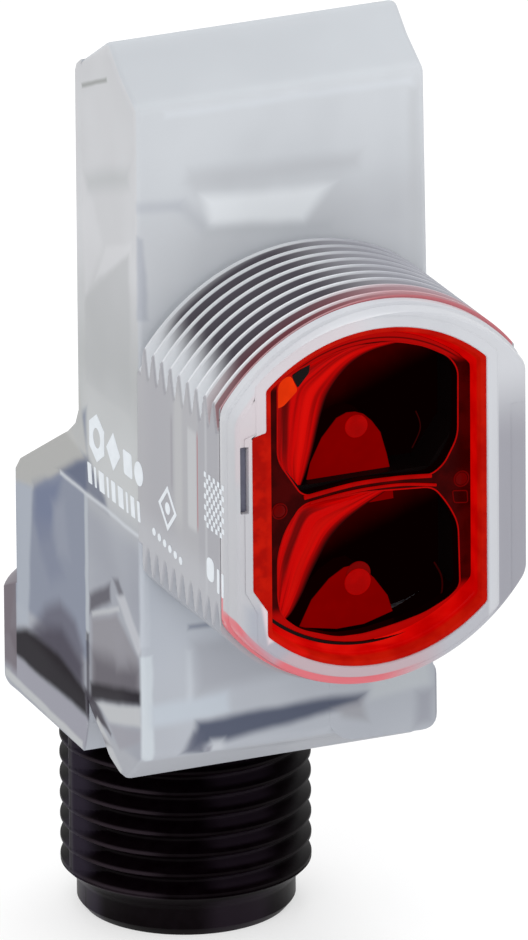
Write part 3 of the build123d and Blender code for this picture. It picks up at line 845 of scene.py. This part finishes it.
NODE_LOOKS = {
    "front_housing": CLEAR,
    "rear_cover": CLEAR,
    "front_bezel": CLEAR,
    "light_guide": CLEAR_LENS,
    "lens_window": OPTIC_BLACK,
    "window_gasket": OPTIC_BLACK,
    "aperture_mask": OPTIC_BLACK,
    "optics_carrier": OPTIC_BLACK,
    "heat_stakes": OPTIC_BLACK,
    "receiver_lens": CLEAR_LENS,
    "emitter_lens": CLEAR_LENS,
    "optics_board": WHITE_BOARD,
    "receiver_chip": CHIP,
    "emitter_led": LAMP,
    "flex_ribbon": FLEX,
    "main_board": WHITE_BOARD,
    "controller_chip": CHIP,
    "regulator_chip": CHIP,
    "output_driver": CHIP,
    "ceramic_capacitors": CERAMIC,
    "chip_resistors": CHIP,
    "power_led": LAMP,
    "output_led": LAMP,
    "connector_sleeve": BLACK,
    "contact_core": BLACK,
    "contact_flange": BLACK,
    "contact_pins": GOLD,
    "pin_leads": TINNED,
    "connector_seal": SEAL,
}
for node_name, look in NODE_LOOKS.items():
    for material_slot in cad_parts[node_name].material_slots:
        material_slot.material = look


# ---------------------------------------------------------------- slab
# Outline of the front half of the housing and of its hollow, as (Y, Z)
SLAB = [
    (0, 16.4), (1.9, 17.6), (3.2, 18.8), (3.7, 18.6), (6.4, 16.95),
    (6.4, -15.3), (6.1, -15.6), (4.9, -16.4), (4.0, -17.2), (2.8, -17.6), (2.0, -17.6), (0, -15.9),
]
FOOT = [(2.1, -13.0), (2.1, -15.8), (2.9, -16.5), (7.5, -16.5), (7.5, -13.0)]
SLAB_HOLLOW = [
    (1.0, 15.8), (2.4, 16.7), (3.4, 17.5), (7.4, 15.4),
    (7.4, -14.5), (4.4, -15.4), (3.4, -16.3), (2.3, -16.4), (1.0, -15.2),
]


def merge(body, cutter, operation="DIFFERENCE"):
    """Cut one closed bmesh out of another, or join them; both are in millimetres."""
    holders = []
    for bm in (body, cutter):
        bmesh.ops.recalc_face_normals(bm, faces=bm.faces)
        mesh = bpy.data.meshes.new("cut")
        bm.to_mesh(mesh)
        bm.free()
        holder = bpy.data.objects.new("cut", mesh)
        bpy.context.scene.collection.objects.link(holder)
        holders.append(holder)
    modifier = holders[0].modifiers.new("cut", "BOOLEAN")
    modifier.operation = operation
    modifier.solver = "EXACT"
    modifier.object = holders[1]
    bpy.context.view_layer.update()
    graph = bpy.context.evaluated_depsgraph_get()
    mesh = bpy.data.meshes.new_from_object(holders[0].evaluated_get(graph))
    result = bmesh.new()
    result.from_mesh(mesh)
    for holder in holders:
        old = holder.data
        bpy.data.objects.remove(holder)
        bpy.data.meshes.remove(old)
    bpy.data.meshes.remove(mesh)
    return result


def make_slab():
    """Front half of the housing: a bevelled hollow slab, open at the rear, narrower at the top right."""
    body = bmesh.new()
    add_prism(body, SLAB, -HALF, HALF, across)
    for vert in body.verts:
        if vert.co.x > 0:
            vert.co.x -= SLAB_DRAFT * min(max((vert.co.z + 16.0) / 32.0, 0.0), 1.0)
    bevel_edges(body, 0.32, 4, 20.0, 6.3)
    foot = bmesh.new()
    add_prism(foot, rounded(FOOT, 0.8, 6), -0.005, 2.2, facing)
    body = merge(body, foot, "UNION")
    for vert in body.verts:
        lean = min(max(vert.co.x / HALF, 0.0), 1.0) * min(max((16.0 - vert.co.z) / 32.0, 0.0), 1.0)
        vert.co.y -= SLAB_LEAN * lean * min(max(1.0 - vert.co.y / 2.0, 0.0), 1.0)
    hollow = bmesh.new()
    add_prism(hollow, SLAB_HOLLOW, -HALF + SHELL_WALL, HALF - SHELL_WALL, across)
    bevel_edges(hollow, 0.35, 3, 20.0)
    return finish_mesh("slab_shell", merge(body, hollow), CLEAR, 40.0)


# ---------------------------------------------------------------- nose thread
def thread_rise(distance):
    """Height of a 60 degree thread from 0 to 1, by distance from its crest in half pitches."""
    return min(max((0.82 - distance) / 0.66, 0.0), 1.0) ** 1.2


def soft_limit(value, limit, soft):
    """The smaller of value and limit, rounded where they meet."""
    if value < limit - soft:
        return value
    if value > limit + soft:
        return limit
    return value - (value - limit + soft) ** 2 / (4 * soft)


def stretched(radius, angle, amount):
    """Point of the nose's outline at an angle from +Z: a circle a little longer along one diagonal."""
    longer = radius + amount * (0.8 + math.sin(2 * angle))
    height = longer * math.cos(angle) - 0.5 * amount
    return longer * math.sin(angle), height * (LOWER_HALF if height < 0 else 1.0)


def flatted(radius, half, soft=0.12, ear=0.0, shift=0.0, count=540, stretch=0.0):
    """Outline of a disc with two flats, as (X, Z), with an ear on the left where asked."""
    points = []
    for step in range(count):
        a, b = stretched(radius, 2 * math.pi * step / count, stretch)
        a = math.copysign(soft_limit(abs(a), half, soft), a)
        if ear and a < 0:
            slope = 0.15 if b > 0 else 1.1
            inside = min(max((EAR_HIGH + slope - 0.15 - abs(b)) / slope, 0.0), 1.0)
            a -= ear * inside
        points.append((a + shift, b))
    return points


def circle_line(x, z, radius, count, squash=1.0):
    """Points of a circle round (x, z), from its top; squash scales its height."""
    turns = [2 * math.pi * k / count for k in range(count)]
    return [(x + radius * math.sin(a), z + radius * squash * math.cos(a)) for a in turns]


def ring_at(outline, y):
    """The outline's points at one depth."""
    return [(x, y, z) for x, z in outline]


def make_nose():
    """Threaded nose as one helical surface cut by two flats, with its flatted bore."""
    steps = 540
    profile = 14
    turns = int(math.ceil((THREAD_BACK - THREAD_FRONT) / NOSE_PITCH)) + 2
    bm = bmesh.new()
    rows = []
    for i in range(turns * steps + 1):
        turn = i / steps
        angle = 2 * math.pi * (i % steps) / steps
        row = []
        for j in range(profile + 1):
            fraction = j / profile
            along = (turn - 2 + fraction) * NOSE_PITCH - THREAD_BACK
            rise = thread_rise(abs(fraction - 0.5) * 2)
            run_out = min(max((along + THREAD_BACK) / 0.8, 0.0), 1.0)
            radius = NOSE_ROOT + (NOSE_CREST - NOSE_ROOT) * (rise if run_out > 0 else 0.0)
            along = min(max(along, -THREAD_BACK), -THREAD_FRONT)
            a, b = stretched(radius, angle, NOSE_STRETCH)
            row.append(bm.verts.new((min(max(a, -HALF), HALF), -along, b)))
        rows.append(row)
    for first, second in zip(rows, rows[1:]):
        for j in range(profile):
            bm.faces.new((first[j], first[j + 1], second[j + 1], second[j]))
    bmesh.ops.remove_doubles(bm, verts=bm.verts, dist=2e-4)
    bmesh.ops.dissolve_degenerate(bm, edges=bm.edges, dist=1e-4)
    root = flatted(NOSE_ROOT, HALF, 0.02, stretch=NOSE_STRETCH)
    bore = flatted(7.75, 5.95, 0.05)
    add_rings(bm, [
        ring_at(root, THREAD_BACK), ring_at(root, 0.1), ring_at(bore, 0.1),
        ring_at(bore, THREAD_FRONT), ring_at(root, THREAD_FRONT),
    ])
    piece = finish_mesh("nose_thread", bm, NOSE_CLEAR, 50.0)
    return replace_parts(piece, "front_housing")


# ---------------------------------------------------------------- bezel
def make_bezel():
    """Clear end ring: a stepped, rounded outside, a rim round the window and a latch slot each side."""

    def grown(extra, ear=EAR_OUT, soft=0.12):
        return flatted(WINDOW_RADIUS + extra, WINDOW_HALF + extra, soft, ear, WINDOW_SHIFT)

    def edge_ring(radius, half, y):
        return ring_at(flatted(radius - 0.16, half, 0.25, stretch=BEZEL_STRETCH), y)

    rings = [
        ring_at(flatted(8.2, 7.2, 0.25), -9.5),
        edge_ring(9.05, 7.48, -9.5),
        edge_ring(9.1, 7.5, -9.56),
        edge_ring(9.1, 7.5, -10.08),
        edge_ring(9.03, 7.46, -10.16),
        edge_ring(8.97, BEZEL_HALF, -10.2),
        edge_ring(8.95, BEZEL_HALF - 0.02, -10.95),
        edge_ring(8.9, BEZEL_HALF - 0.08, -11.09),
        edge_ring(8.8, BEZEL_HALF - 0.2, -11.16),
        ring_at(grown(0.58, EAR_OUT - 0.15), -11.16),
        ring_at(grown(0.54, EAR_OUT - 0.15), -11.155),
        ring_at(grown(0.50, EAR_OUT - 0.1), -11.19),
        ring_at(grown(0.46, EAR_OUT - 0.1), FRONT),
        ring_at(grown(0.05), FRONT),
        ring_at(grown(0.0), -11.15),
        ring_at(grown(0.0), -9.6),
        ring_at(flatted(8.2, 7.2, 0.25), -9.6),
    ]
    materials = [0] * 9 + [1] * 5 + [0] * 2
    bm = bmesh.new()
    rows = add_rings(bm, rings, materials)
    close_ring(bm, rows[0], rows[-1])
    for side in (-1, 1):
        cutter = bmesh.new()
        wide, deep = (0.42, 1.3) if side < 0 else (0.9, 0.5)
        centre = -6.98 if side < 0 else 7.0
        low, high = (0.1, 3.4) if side < 0 else (-6.0, 3.5)
        outline = rounded([
            (centre - wide / 2, low), (centre + wide / 2, low),
            (centre + wide / 2, high), (centre - wide / 2, high),
        ], 0.06)
        add_prism(cutter, outline, FRONT - 0.5, FRONT + (deep if side < 0 else 0.08), facing)
        bm = merge(bm, cutter)
    piece = finish_mesh("window_bezel", bm, [BEZEL_CLEAR, BEZEL_RIM], 28.0)
    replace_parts(piece, "front_bezel")
    # A dark blue-grey plate in the left latch slot, standing in for the shade inside it
    slot_shade_outline = rounded([(-7.18, 0.12), (-6.79, 0.12), (-6.79, 3.38), (-7.18, 3.38)], 0.06)
    plate("latch_slot_shade", [slot_shade_outline], -FRONT - 0.35, 0.06, FACE_ON, SLOT_SHADE)


# ---------------------------------------------------------------- red block and optics
UPPER_OPENING = [
    (-4.65, 5.8), (-4.68, 1.9), (-3.55, 0.15), (-3.2, -0.05), (-0.3, 0.2), (3.15, 0.0), (3.8, 0.45),
    (4.5, 1.7), (4.52, 5.05), (4.05, 5.75), (2.8, 6.45), (1.4, 6.88), (-0.75, 6.95), (-2.5, 6.6), (-3.7, 6.2),
]
LOWER_OPENING = [
    (-3.2, -0.42), (-0.3, -0.32), (3.25, -0.6), (4.0, -1.6), (4.5, -2.6), (4.58, -5.75), (4.0, -6.25),
    (2.8, -6.8), (1.45, -7.1), (-0.3, -7.37), (-1.7, -7.33), (-3.6, -6.66), (-4.5, -5.9), (-4.71, -5.0),
    (-4.7, -2.8), (-4.3, -1.6), (-3.6, -0.65),
]


def make_red_block():
    """Visible part of the red window: its front lip with the ear and the wall that leads in to the mask."""
    outer = flatted(WINDOW_RADIUS, WINDOW_HALF, 0.1, EAR_OUT, WINDOW_SHIFT)
    rings = [
        ring_at(outer, MASK_BACK),
        ring_at(outer, WINDOW_FRONT + 0.03),
        ring_at(flatted(WINDOW_RADIUS - 0.04, WINDOW_HALF - 0.03, 0.1, EAR_OUT, WINDOW_SHIFT), WINDOW_FRONT),
    ]
    inside = (
        (7.98, 5.34, WINDOW_FRONT + 0.02), (7.92, 5.30, -10.98), (7.80, 5.34, -10.45),
        (7.74, 5.33, -10.38), (7.52, 5.40, MASK_FRONT), (7.52, 5.40, MASK_BACK),
    )
    rings += [ring_at(flatted(radius, half, 0.12, 0.0, WINDOW_SHIFT), y) for radius, half, y in inside]
    bm = bmesh.new()
    rows = add_rings(bm, rings)
    close_ring(bm, rows[0], rows[-1])
    piece = finish_mesh("window_wall", bm, rim_red("window_wall_red"), 20.0)
    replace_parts(piece, "lens_window")


def make_mask():
    """Mask with its two openings, their lit edges, and the bar between them with two ridges."""
    plate_outline = flatted(7.5, 5.38, 0.12, 0.0, WINDOW_SHIFT, 180)
    openings = [rounded(UPPER_OPENING, 0.5, 5), rounded(LOWER_OPENING, 0.5, 5)]
    middle = -(MASK_FRONT + MASK_BACK) / 2
    piece = plate(
        "aperture_plate", [plate_outline] + openings, middle, MASK_BACK - MASK_FRONT, FACE_ON,
        mask_red("mask_red"),
    )
    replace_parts(piece, "aperture_mask")
    bm = bmesh.new()
    for opening in openings:
        tube(bm, [(x, MASK_FRONT, z) for x, z in opening], 0.035, True, 8)
    finish_mesh("opening_edges", bm, bright_red("edge_red", tone(176, 6, 4)))
    bm = bmesh.new()
    ridges = (
        ([(-3.35, -0.12), (-1.5, 0.1), (-0.3, 0.17), (1.5, 0.12), (3.1, -0.02)], 0.10),
        ([(-3.05, -0.42), (-1.5, -0.24), (0.0, -0.17), (1.7, -0.24), (3.35, -0.52)], 0.07),
    )
    for points, radius in ridges:
        path = [(x, MASK_FRONT - 0.06, z) for x, z in smooth_line(points, 10)]
        tube(bm, path, radius, False, 12)
    finish_mesh("bar_ridges", bm, bright_red("ridge_red", tone(172, 3, 1)))


def make_stake_heads():
    """Heads of the two stakes, each a ring with a small dome, and a square pad by the right one."""
    bm = bmesh.new()
    for x, z in ((-4.6, -0.6), (4.66, -0.42)):
        tube(bm, ring_at(circle_line(x, z, 0.37, 28), MASK_FRONT - 0.03), 0.035, True, 8)
        rings = []
        for radius, y in ((0.30, 0.0), (0.29, -0.05), (0.2, -0.1), (0.08, -0.12)):
            rings.append(ring_at(circle_line(x, z, radius, 20), MASK_FRONT + y))
        rows = add_rings(bm, rings)
        bm.faces.new(rows[-1])
        bm.faces.new(rows[0][::-1])
    square = rounded([(4.2, -0.95), (4.95, -1.05), (4.98, -1.65), (4.28, -1.55)], 0.12)
    tube(bm, [(a, MASK_FRONT - 0.02, b) for a, b in square], 0.03, True, 6)
    piece = finish_mesh("stake_heads", bm, bright_red("stake_red", tone(104, 2, 2)))
    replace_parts(piece, "heat_stakes")


def make_tunnel_walls():
    """The lit left wall of each light tunnel, a strip that curves from the bar up or down the side."""
    upper_out = [(1.9, 6.95), (0.92, 6.95), (-0.85, 6.98), (-2.12, 6.7), (-3.38, 6.25), (-4.6, 5.8),
                 (-4.85, 4.8), (-4.85, 2.9), (-4.75, 1.6), (-4.2, 0.65), (-3.6, 0.0)]
    upper_in = [(2.2, 6.55), (1.9, 6.47), (0.64, 6.3), (-0.38, 5.9), (-1.14, 5.28), (-1.72, 4.5),
                (-2.04, 3.7), (-2.27, 2.87), (-2.54, 1.8), (-2.89, 0.74), (-3.3, -0.2)]
    lower_out = [(0.9, -0.4), (-0.14, -0.42), (-1.53, -0.5), (-2.67, -0.5), (-3.7, -0.6), (-4.35, -1.8),
                 (-4.75, -2.9), (-4.9, -3.9), (-4.9, -5.1), (-4.74, -6.1), (-4.4, -6.4)]
    lower_in = [(1.4, -0.65), (1.1, -0.81), (0.08, -1.33), (-0.94, -1.97), (-1.71, -2.72), (-2.22, -3.5),
                (-2.67, -4.3), (-3.12, -5.22), (-3.6, -6.0), (-3.95, -6.35), (-4.1, -6.5)]
    walls = (
        ("upper_wall", upper_out, upper_in, (0.10, 0.26, 0.45, 0.85), 0.0, "receiver_lens"),
        ("lower_wall", lower_out, lower_in, (0.12, 0.30, 0.35, 0.75), 5.0, "emitter_lens"),
    )
    for name, outer, inner, streak, seed, node in walls:
        edge_a = smooth_line([(x, -9.4, z) for x, z in outer], 8)
        edge_b = smooth_line([(x, -8.9, z) for x, z in inner], 8)
        piece = ribbon(name, edge_a, edge_b, 0.25, 0.12, wall_red(name + "_red", streak, seed))
        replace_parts(piece, node)


def make_optics():
    """What stands in the two pockets: a fan-shaped body with a round emitter or receiver, and faint arcs, all
    in painted red glow; and an orange painted glint and a black plate for a painted shadow in front of the
    upper tunnel wall.
    """
    fan_red = dark_body("fan_red", tone(126, 0, 0))
    upper_fan = [(-3.0, -1.5), (-2.75, -0.4), (-2.41, 0.99), (-1.83, 2.14),
                 (-1.07, 3.0), (-0.55, 3.2), (-0.11, 3.17),
                 (0.3, 3.0), (0.71, 2.61), (1.15, 1.98), (1.46, 0.88), (1.72, -0.3), (1.8, -1.4)]
    lower_fan = [(-3.04, -7.07), (-2.4, -5.81), (-1.5, -4.9), (-0.74, -4.46), (-0.1, -4.4), (0.4, -4.8),
                 (0.78, -5.2), (1.47, -6.18), (1.72, -7.0), (0.26, -7.41), (-1.14, -7.44)]
    for name, outline in (("upper_fan", upper_fan), ("lower_fan", lower_fan)):
        depth = -(OPTIC_FRONT + POCKET_FLOOR) / 2
        plate(name, [outline], depth, POCKET_FLOOR - OPTIC_FRONT, FACE_ON, fan_red, 0.04)
    discs = ((-0.12, 2.5, 0.57, OPTIC_FRONT - 0.08, 168), (-0.11, -5.22, 0.66, OPTIC_FRONT - 0.1, 172),
             (-0.05, -4.85, 0.62, OPTIC_FRONT - 0.03, 118))
    for index, (x, z, radius, y, level) in enumerate(discs):
        outline = circle_line(x, z, radius, 48, 0.98)
        material = bright_red(f"disc_red_{index}", tone(level, 1, 0))
        plate(f"optic_disc_{index}", [outline], -y, 0.08, FACE_ON, material, 0.02)
    bm = bmesh.new()
    arcs = (
        ([(2.95, 2.75), (3.15, 2.2), (3.13, 1.7), (2.75, 0.95)], 0.03),
        ([(3.85, -4.9), (4.2, -5.6), (4.25, -6.3), (4.05, -7.0)], 0.04),
        ([(2.7, -0.05), (2.95, 0.02), (3.2, -0.08)], 0.04),
    )
    for points, radius in arcs:
        tube(bm, [(x, OPTIC_FRONT, z) for x, z in smooth_line(points, 8)], radius, False, 6)
    finish_mesh("faint_arcs", bm, bright_red("arc_red", tone(46, 1, 1)))
    pocket = pocket_black("pocket_black")
    for name, outline in (("upper_pocket", UPPER_OPENING), ("lower_pocket", LOWER_OPENING)):
        wider = [(x * 1.1, z * 1.03) for x, z in outline]
        plate(name, [wider], -POCKET_FLOOR, 0.1, FACE_ON, pocket)
    lining = bmesh.new()
    rows = add_rings(lining, [
        ring_at(flatted(7.72, 5.9), MASK_BACK + 0.02), ring_at(flatted(7.72, 5.9), POCKET_FLOOR),
        ring_at(flatted(7.6, 5.78), POCKET_FLOOR), ring_at(flatted(7.6, 5.78), MASK_BACK + 0.02),
    ])
    close_ring(lining, rows[0], rows[-1])
    finish_mesh("pocket_lining", lining, pocket)
    # An orange painted glint, and a black plate for a painted shadow, in front of the upper tunnel wall
    glint = [(-4.7, 4.35), (-4.66, 5.4), (-4.4, 5.82), (-3.83, 5.86), (-3.52, 5.12), (-4.25, 4.45)]
    plate("orange_glint", [rounded(glint, 0.15)], 9.47, 0.05, FACE_ON,
          bright_red("orange_glint", tone(232, 52, 4), 0.95))
    shadow = [(-3.8, 5.9), (-2.88, 6.37), (-2.95, 5.89), (-3.52, 5.24)]
    plate("painted_shadow", [rounded(shadow, 0.08)], 9.47, 0.05, FACE_ON, OPTIC_BLACK)


# ---------------------------------------------------------------- plug
# Degrees that the filled part of the thread reaches to each side of a parting line
PARTING_FLAT = 2.5
PARTING_REACH = (6.0, 21.0)


def plug_radius(angle, z):
    """Outside radius of the plug: thread teeth, filled in by a ramp each side of the two parting lines."""
    thread_end = PLUG_FIRST_CREST - (PLUG_TURNS - 1) * PLUG_PITCH - 0.15
    if z > PLUG_NECK:
        return PLUG_CREST
    if z < thread_end:
        return max(PLUG_CREST - (thread_end - z), COLLAR)
    phase = (z - PLUG_FIRST_CREST) / PLUG_PITCH
    distance = abs(phase - round(phase)) * 2
    rise = min(max((0.86 - distance) / 0.74, 0.0), 1.0)
    from_line = math.degrees(math.remainder(angle, math.pi))
    reach = PARTING_REACH[1] if from_line > 0 else PARTING_REACH[0]
    fill = min(max((reach - abs(from_line)) / (reach - PARTING_FLAT), 0.0), 1.0)
    return PLUG_ROOT + (PLUG_CREST - PLUG_ROOT) * max(rise, 0.96 * fill)


def make_plug():
    """Threaded sleeve of the plug with its collar, the socket's wall and the moulding line down each side."""
    steps = 400
    rows_per_pitch = 18
    levels = [PLUG_TOP, -17.65]
    length = PLUG_NECK - PLUG_THREAD_END
    count = int(round(length / PLUG_PITCH * rows_per_pitch))
    levels += [PLUG_NECK - length * k / count for k in range(count + 1)]
    levels += [-26.8, -27.0, -27.95]
    rings = []

    def circle(radius_at, z):
        ring = []
        for k in range(steps):
            angle = 2 * math.pi * k / steps
            radius = radius_at(angle, z)
            # The angle is measured from -X, where one of the parting lines is
            ring.append((-radius * math.cos(angle), PLUG_Y - radius * math.sin(angle), z))
        return ring

    for z in levels:
        rings.append(circle(plug_radius, z))
    rings.append(circle(lambda angle, z: COLLAR - 0.05, -28.03))
    rings.append(circle(lambda angle, z: COLLAR - 0.32, PLUG_END))
    rings.append(circle(lambda angle, z: SOCKET + 0.12, PLUG_END))
    rings.append(circle(lambda angle, z: SOCKET, PLUG_END + 0.12))
    rings.append(circle(lambda angle, z: SOCKET, PLUG_TOP))
    bm = bmesh.new()
    rows = add_rings(bm, rings)
    close_ring(bm, rows[0], rows[-1])
    m = Nodes("plug_moulded")
    grain = m.ramp(m.noise(1800.0, 4.0), 0.3, 0.7)
    near_line = m.times(m.band(m.y, 10.9, 13.2, 0.5), m.ramp(m.x, -4.0, -5.0))
    parting = m.times(m.band(m.y, PLUG_Y - 0.06, PLUG_Y + 0.06, 0.04), m.ramp(m.x, -4.0, -5.0))
    behind_axis = m.math("POWER", m.plane(0, 1, 0, -PLUG_Y), 2.0)
    from_axis = m.math("SQRT", m.math("ADD", m.times(m.x, m.x), behind_axis))
    crest = m.ramp(from_axis, PLUG_CREST - 0.12, PLUG_CREST - 0.02)
    valley = m.times(m.ramp(from_axis, PLUG_CREST - 0.15, PLUG_CREST - 0.4), m.ramp(m.y, 9.0, 7.5))
    front_left = m.times(m.ramp(m.x, -3.0, -4.2), m.ramp(m.y, 12.0, 10.0))
    # Painted highlights on the black plastic: a slate band beside the left parting line, the crests at the
    # front left, and the valleys right of centre at the front
    base = m.paint(
        m.mix(grain, tone(4, 0, 2), tone(8, 3, 6)),
        (m.times(near_line, 0.85), tone(40, 34, 46)),
        (m.times(crest, front_left, 0.8), tone(42, 34, 40)),
        (m.times(valley, m.band(m.x, -1.0, 2.2, 0.7), 0.7), tone(34, 27, 35)),
        (m.times(parting, 0.9), tone(8, 3, 8)),
    )
    m.set(Base_Color=base, Roughness=0.38, Specular_IOR_Level=0.04)
    m.bump(m.noise(2600.0, 4.0), 0.12, 0.00002)
    piece = finish_mesh("plug_thread", bm, m.material, 30.0)
    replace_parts(piece, "connector_sleeve")


# ---------------------------------------------------------------- printed marks
def block_mark(y, z, width, height, slant=0.0):
    """Outline of one printed block on the left side, from its upper rear corner, as (-Y, Z)."""
    a = -y
    return [(a, z), (a + width, z), (a + width + slant, z - height), (a + slant, z - height)]


def ring_mark(y, z, radius, sides=36, squash=1.0):
    return [(-y + radius * squash * math.sin(a), z + radius * math.cos(a))
            for a in (2 * math.pi * k / sides for k in range(sides))]


def make_marks():
    """Plain geometric marks where the housing is printed. They spell nothing."""
    surface = HALF + 0.005
    big = [
        ring_mark(4.95, -1.42, 1.2, 6, 0.85),
        ring_mark(4.95, -1.42, 0.5, 24, 0.85),
        ring_mark(3.0, -1.45, 0.95, 4, 0.85),
        rounded(block_mark(1.85, -0.9, 1.0, 1.2, 0.12), 0.15),
        ring_mark(0.0, -1.55, 0.6, 36, 0.85),
    ]
    plate("mark_large", big, surface, 0.02, SIDE_ON, MARK_WHITE)
    widths = (0.45, 0.22, 0.6, 0.22, 0.45, 0.6, 0.22, 0.45, 0.3)
    row = []
    place = 6.1
    for width in widths:
        row.append(rounded(block_mark(place, -2.95, width, 1.0, 0.12), 0.06, 2))
        place -= width + 0.33
    plate("mark_row", row, surface, 0.02, SIDE_ON, MARK_WHITE)
    target = [
        ring_mark(-3.37, -2.15, 1.12, 4, 0.95), ring_mark(-3.37, -2.15, 0.82, 4, 0.95),
        ring_mark(-3.37, -2.15, 0.3, 24, 0.95),
    ]
    for k in range(6):
        target.append(ring_mark(-1.75 - 0.62 * k, -3.85 - 0.08 * k, 0.2, 8))
    plate("mark_ring", target, surface, 0.02, SIDE_ON, MARK_WHITE)
    cells = []
    columns, rows = 9, 10
    width, height = 0.255, 0.27
    for i in range(columns):
        for j in range(rows):
            if (i + j) % 2 == 0:
                y = -7.68 - i * width
                z = 1.15 - j * height
                cells.append(block_mark(y, z, width * 0.92, height * 0.92))
    plate("mark_dots", cells, surface, 0.02, SIDE_ON, MARK_WHITE)
    seal = [
        rounded([(7.9, -2.95), (8.75, -2.95), (8.75, -4.1), (7.9, -4.1)], 0.4, 5),
        rounded([(9.1, -3.2), (9.35, -3.2), (9.35, -4.4), (9.1, -4.4)], 0.1),
        rounded([(9.6, -3.25), (9.85, -3.25), (9.85, -4.45), (9.6, -4.45)], 0.1),
    ]
    plate("mark_seal", seal, surface, 0.02, SIDE_ON, MARK_WHITE)


# ---------------------------------------------------------------- stage, lights and camera
def add_area(name, location, size, power):
    """Rectangular soft light, aimed at the origin."""
    light = bpy.data.lights.new(name, "AREA")
    light.shape = "RECTANGLE"
    light.size, light.size_y = size
    light.energy = power
    lamp = bpy.data.objects.new(name, light)
    lamp.location = location
    lamp.rotation_euler = (-Vector(location)).to_track_quat("-Z", "Y").to_euler()
    bpy.context.scene.collection.objects.link(lamp)


# How strongly the world lights the part, and half the floor's width in metres
WORLD_LIGHT = 0.8
FLOOR_HALF = 2.5


def make_stage():
    """Plain pale floor, a white world and three soft lights."""
    m = Nodes("floor_white")
    m.set(Base_Color=m.mix(m.noise(3.0), (0.44, 0.44, 0.44), (0.46, 0.46, 0.46)), Roughness=0.9)
    m.set(Emission_Color=(1.0, 1.0, 1.0), Emission_Strength=0.55, Specular_IOR_Level=0.1)
    bm = bmesh.new()
    bmesh.ops.create_grid(bm, x_segments=1, y_segments=1, size=FLOOR_HALF)
    mesh = bpy.data.meshes.new("floor")
    bm.to_mesh(mesh)
    bm.free()
    mesh.materials.append(m.material)
    floor = bpy.data.objects.new("floor", mesh)
    floor.location = (0, 0, CAD_BOX[0][2])
    bpy.context.scene.collection.objects.link(floor)
    world = bpy.data.worlds.new("studio")
    bpy.context.scene.world = world
    world.use_nodes = True
    tree = world.node_tree
    background = tree.nodes["Background"]
    background.inputs["Color"].default_value = (1.0, 1.0, 1.0, 1.0)
    # Past the floor's edge the backdrop shows white like the floor, and it lights the part a little less
    path = tree.nodes.new("ShaderNodeLightPath")
    strength = tree.nodes.new("ShaderNodeMath")
    strength.operation = "MULTIPLY_ADD"
    strength.inputs[1].default_value = 1.0 - WORLD_LIGHT
    strength.inputs[2].default_value = WORLD_LIGHT
    tree.links.new(path.outputs["Is Camera Ray"], strength.inputs[0])
    tree.links.new(strength.outputs[0], background.inputs["Strength"])
    add_area("key_left", (-0.25, -0.32, 0.30), (0.25, 0.25), 0.7)
    add_area("fill_right", (0.34, -0.22, 0.12), (0.20, 0.30), 0.25)
    add_area("top_back", (0.05, 0.20, 0.38), (0.30, 0.20), 0.7)


# The offset and the distance are in metres. A much longer lens would put
# the part past the clip range of the other views.
AZIMUTH = math.radians(-23.6)
ELEVATION = math.radians(20.2)
ROLL = math.radians(0.45)
AIM = Vector((0.0, 4.0, 0.0)) * MM
AIM_OFFSET = (0.000611, -0.00362)
DISTANCE = 1.0435
FOCAL_LENGTH = 850.0


def make_camera():
    """The reference view: from the front left, 20 degrees above, through a long lens."""
    back = Vector((
        math.sin(AZIMUTH) * math.cos(ELEVATION),
        -math.cos(AZIMUTH) * math.cos(ELEVATION),
        math.sin(ELEVATION),
    ))
    right = Vector((math.cos(AZIMUTH), math.sin(AZIMUTH), 0.0))
    up = back.cross(right)
    turned_right = math.cos(ROLL) * right - math.sin(ROLL) * up
    turned_up = math.sin(ROLL) * right + math.cos(ROLL) * up
    data = bpy.data.cameras.new("camera")
    data.sensor_fit = "AUTO"
    data.sensor_width = 36.0
    data.lens = FOCAL_LENGTH
    data.clip_start = 0.1
    data.clip_end = 20.0
    camera = bpy.data.objects.new("camera", data)
    place = AIM + turned_right * AIM_OFFSET[0] + turned_up * AIM_OFFSET[1] + back * DISTANCE
    rotation = Matrix((turned_right, turned_up, back)).transposed()
    camera.matrix_world = Matrix.Translation(place) @ rotation.to_4x4()
    bpy.context.scene.collection.objects.link(camera)
    bpy.context.scene.camera = camera


make_camera()
make_stage()
make_slab()
make_nose()
make_bezel()
make_red_block()
make_mask()
make_stake_heads()
make_tunnel_walls()
make_optics()
make_plug()
make_marks()
bpy.context.scene.view_settings.view_transform = "Standard"
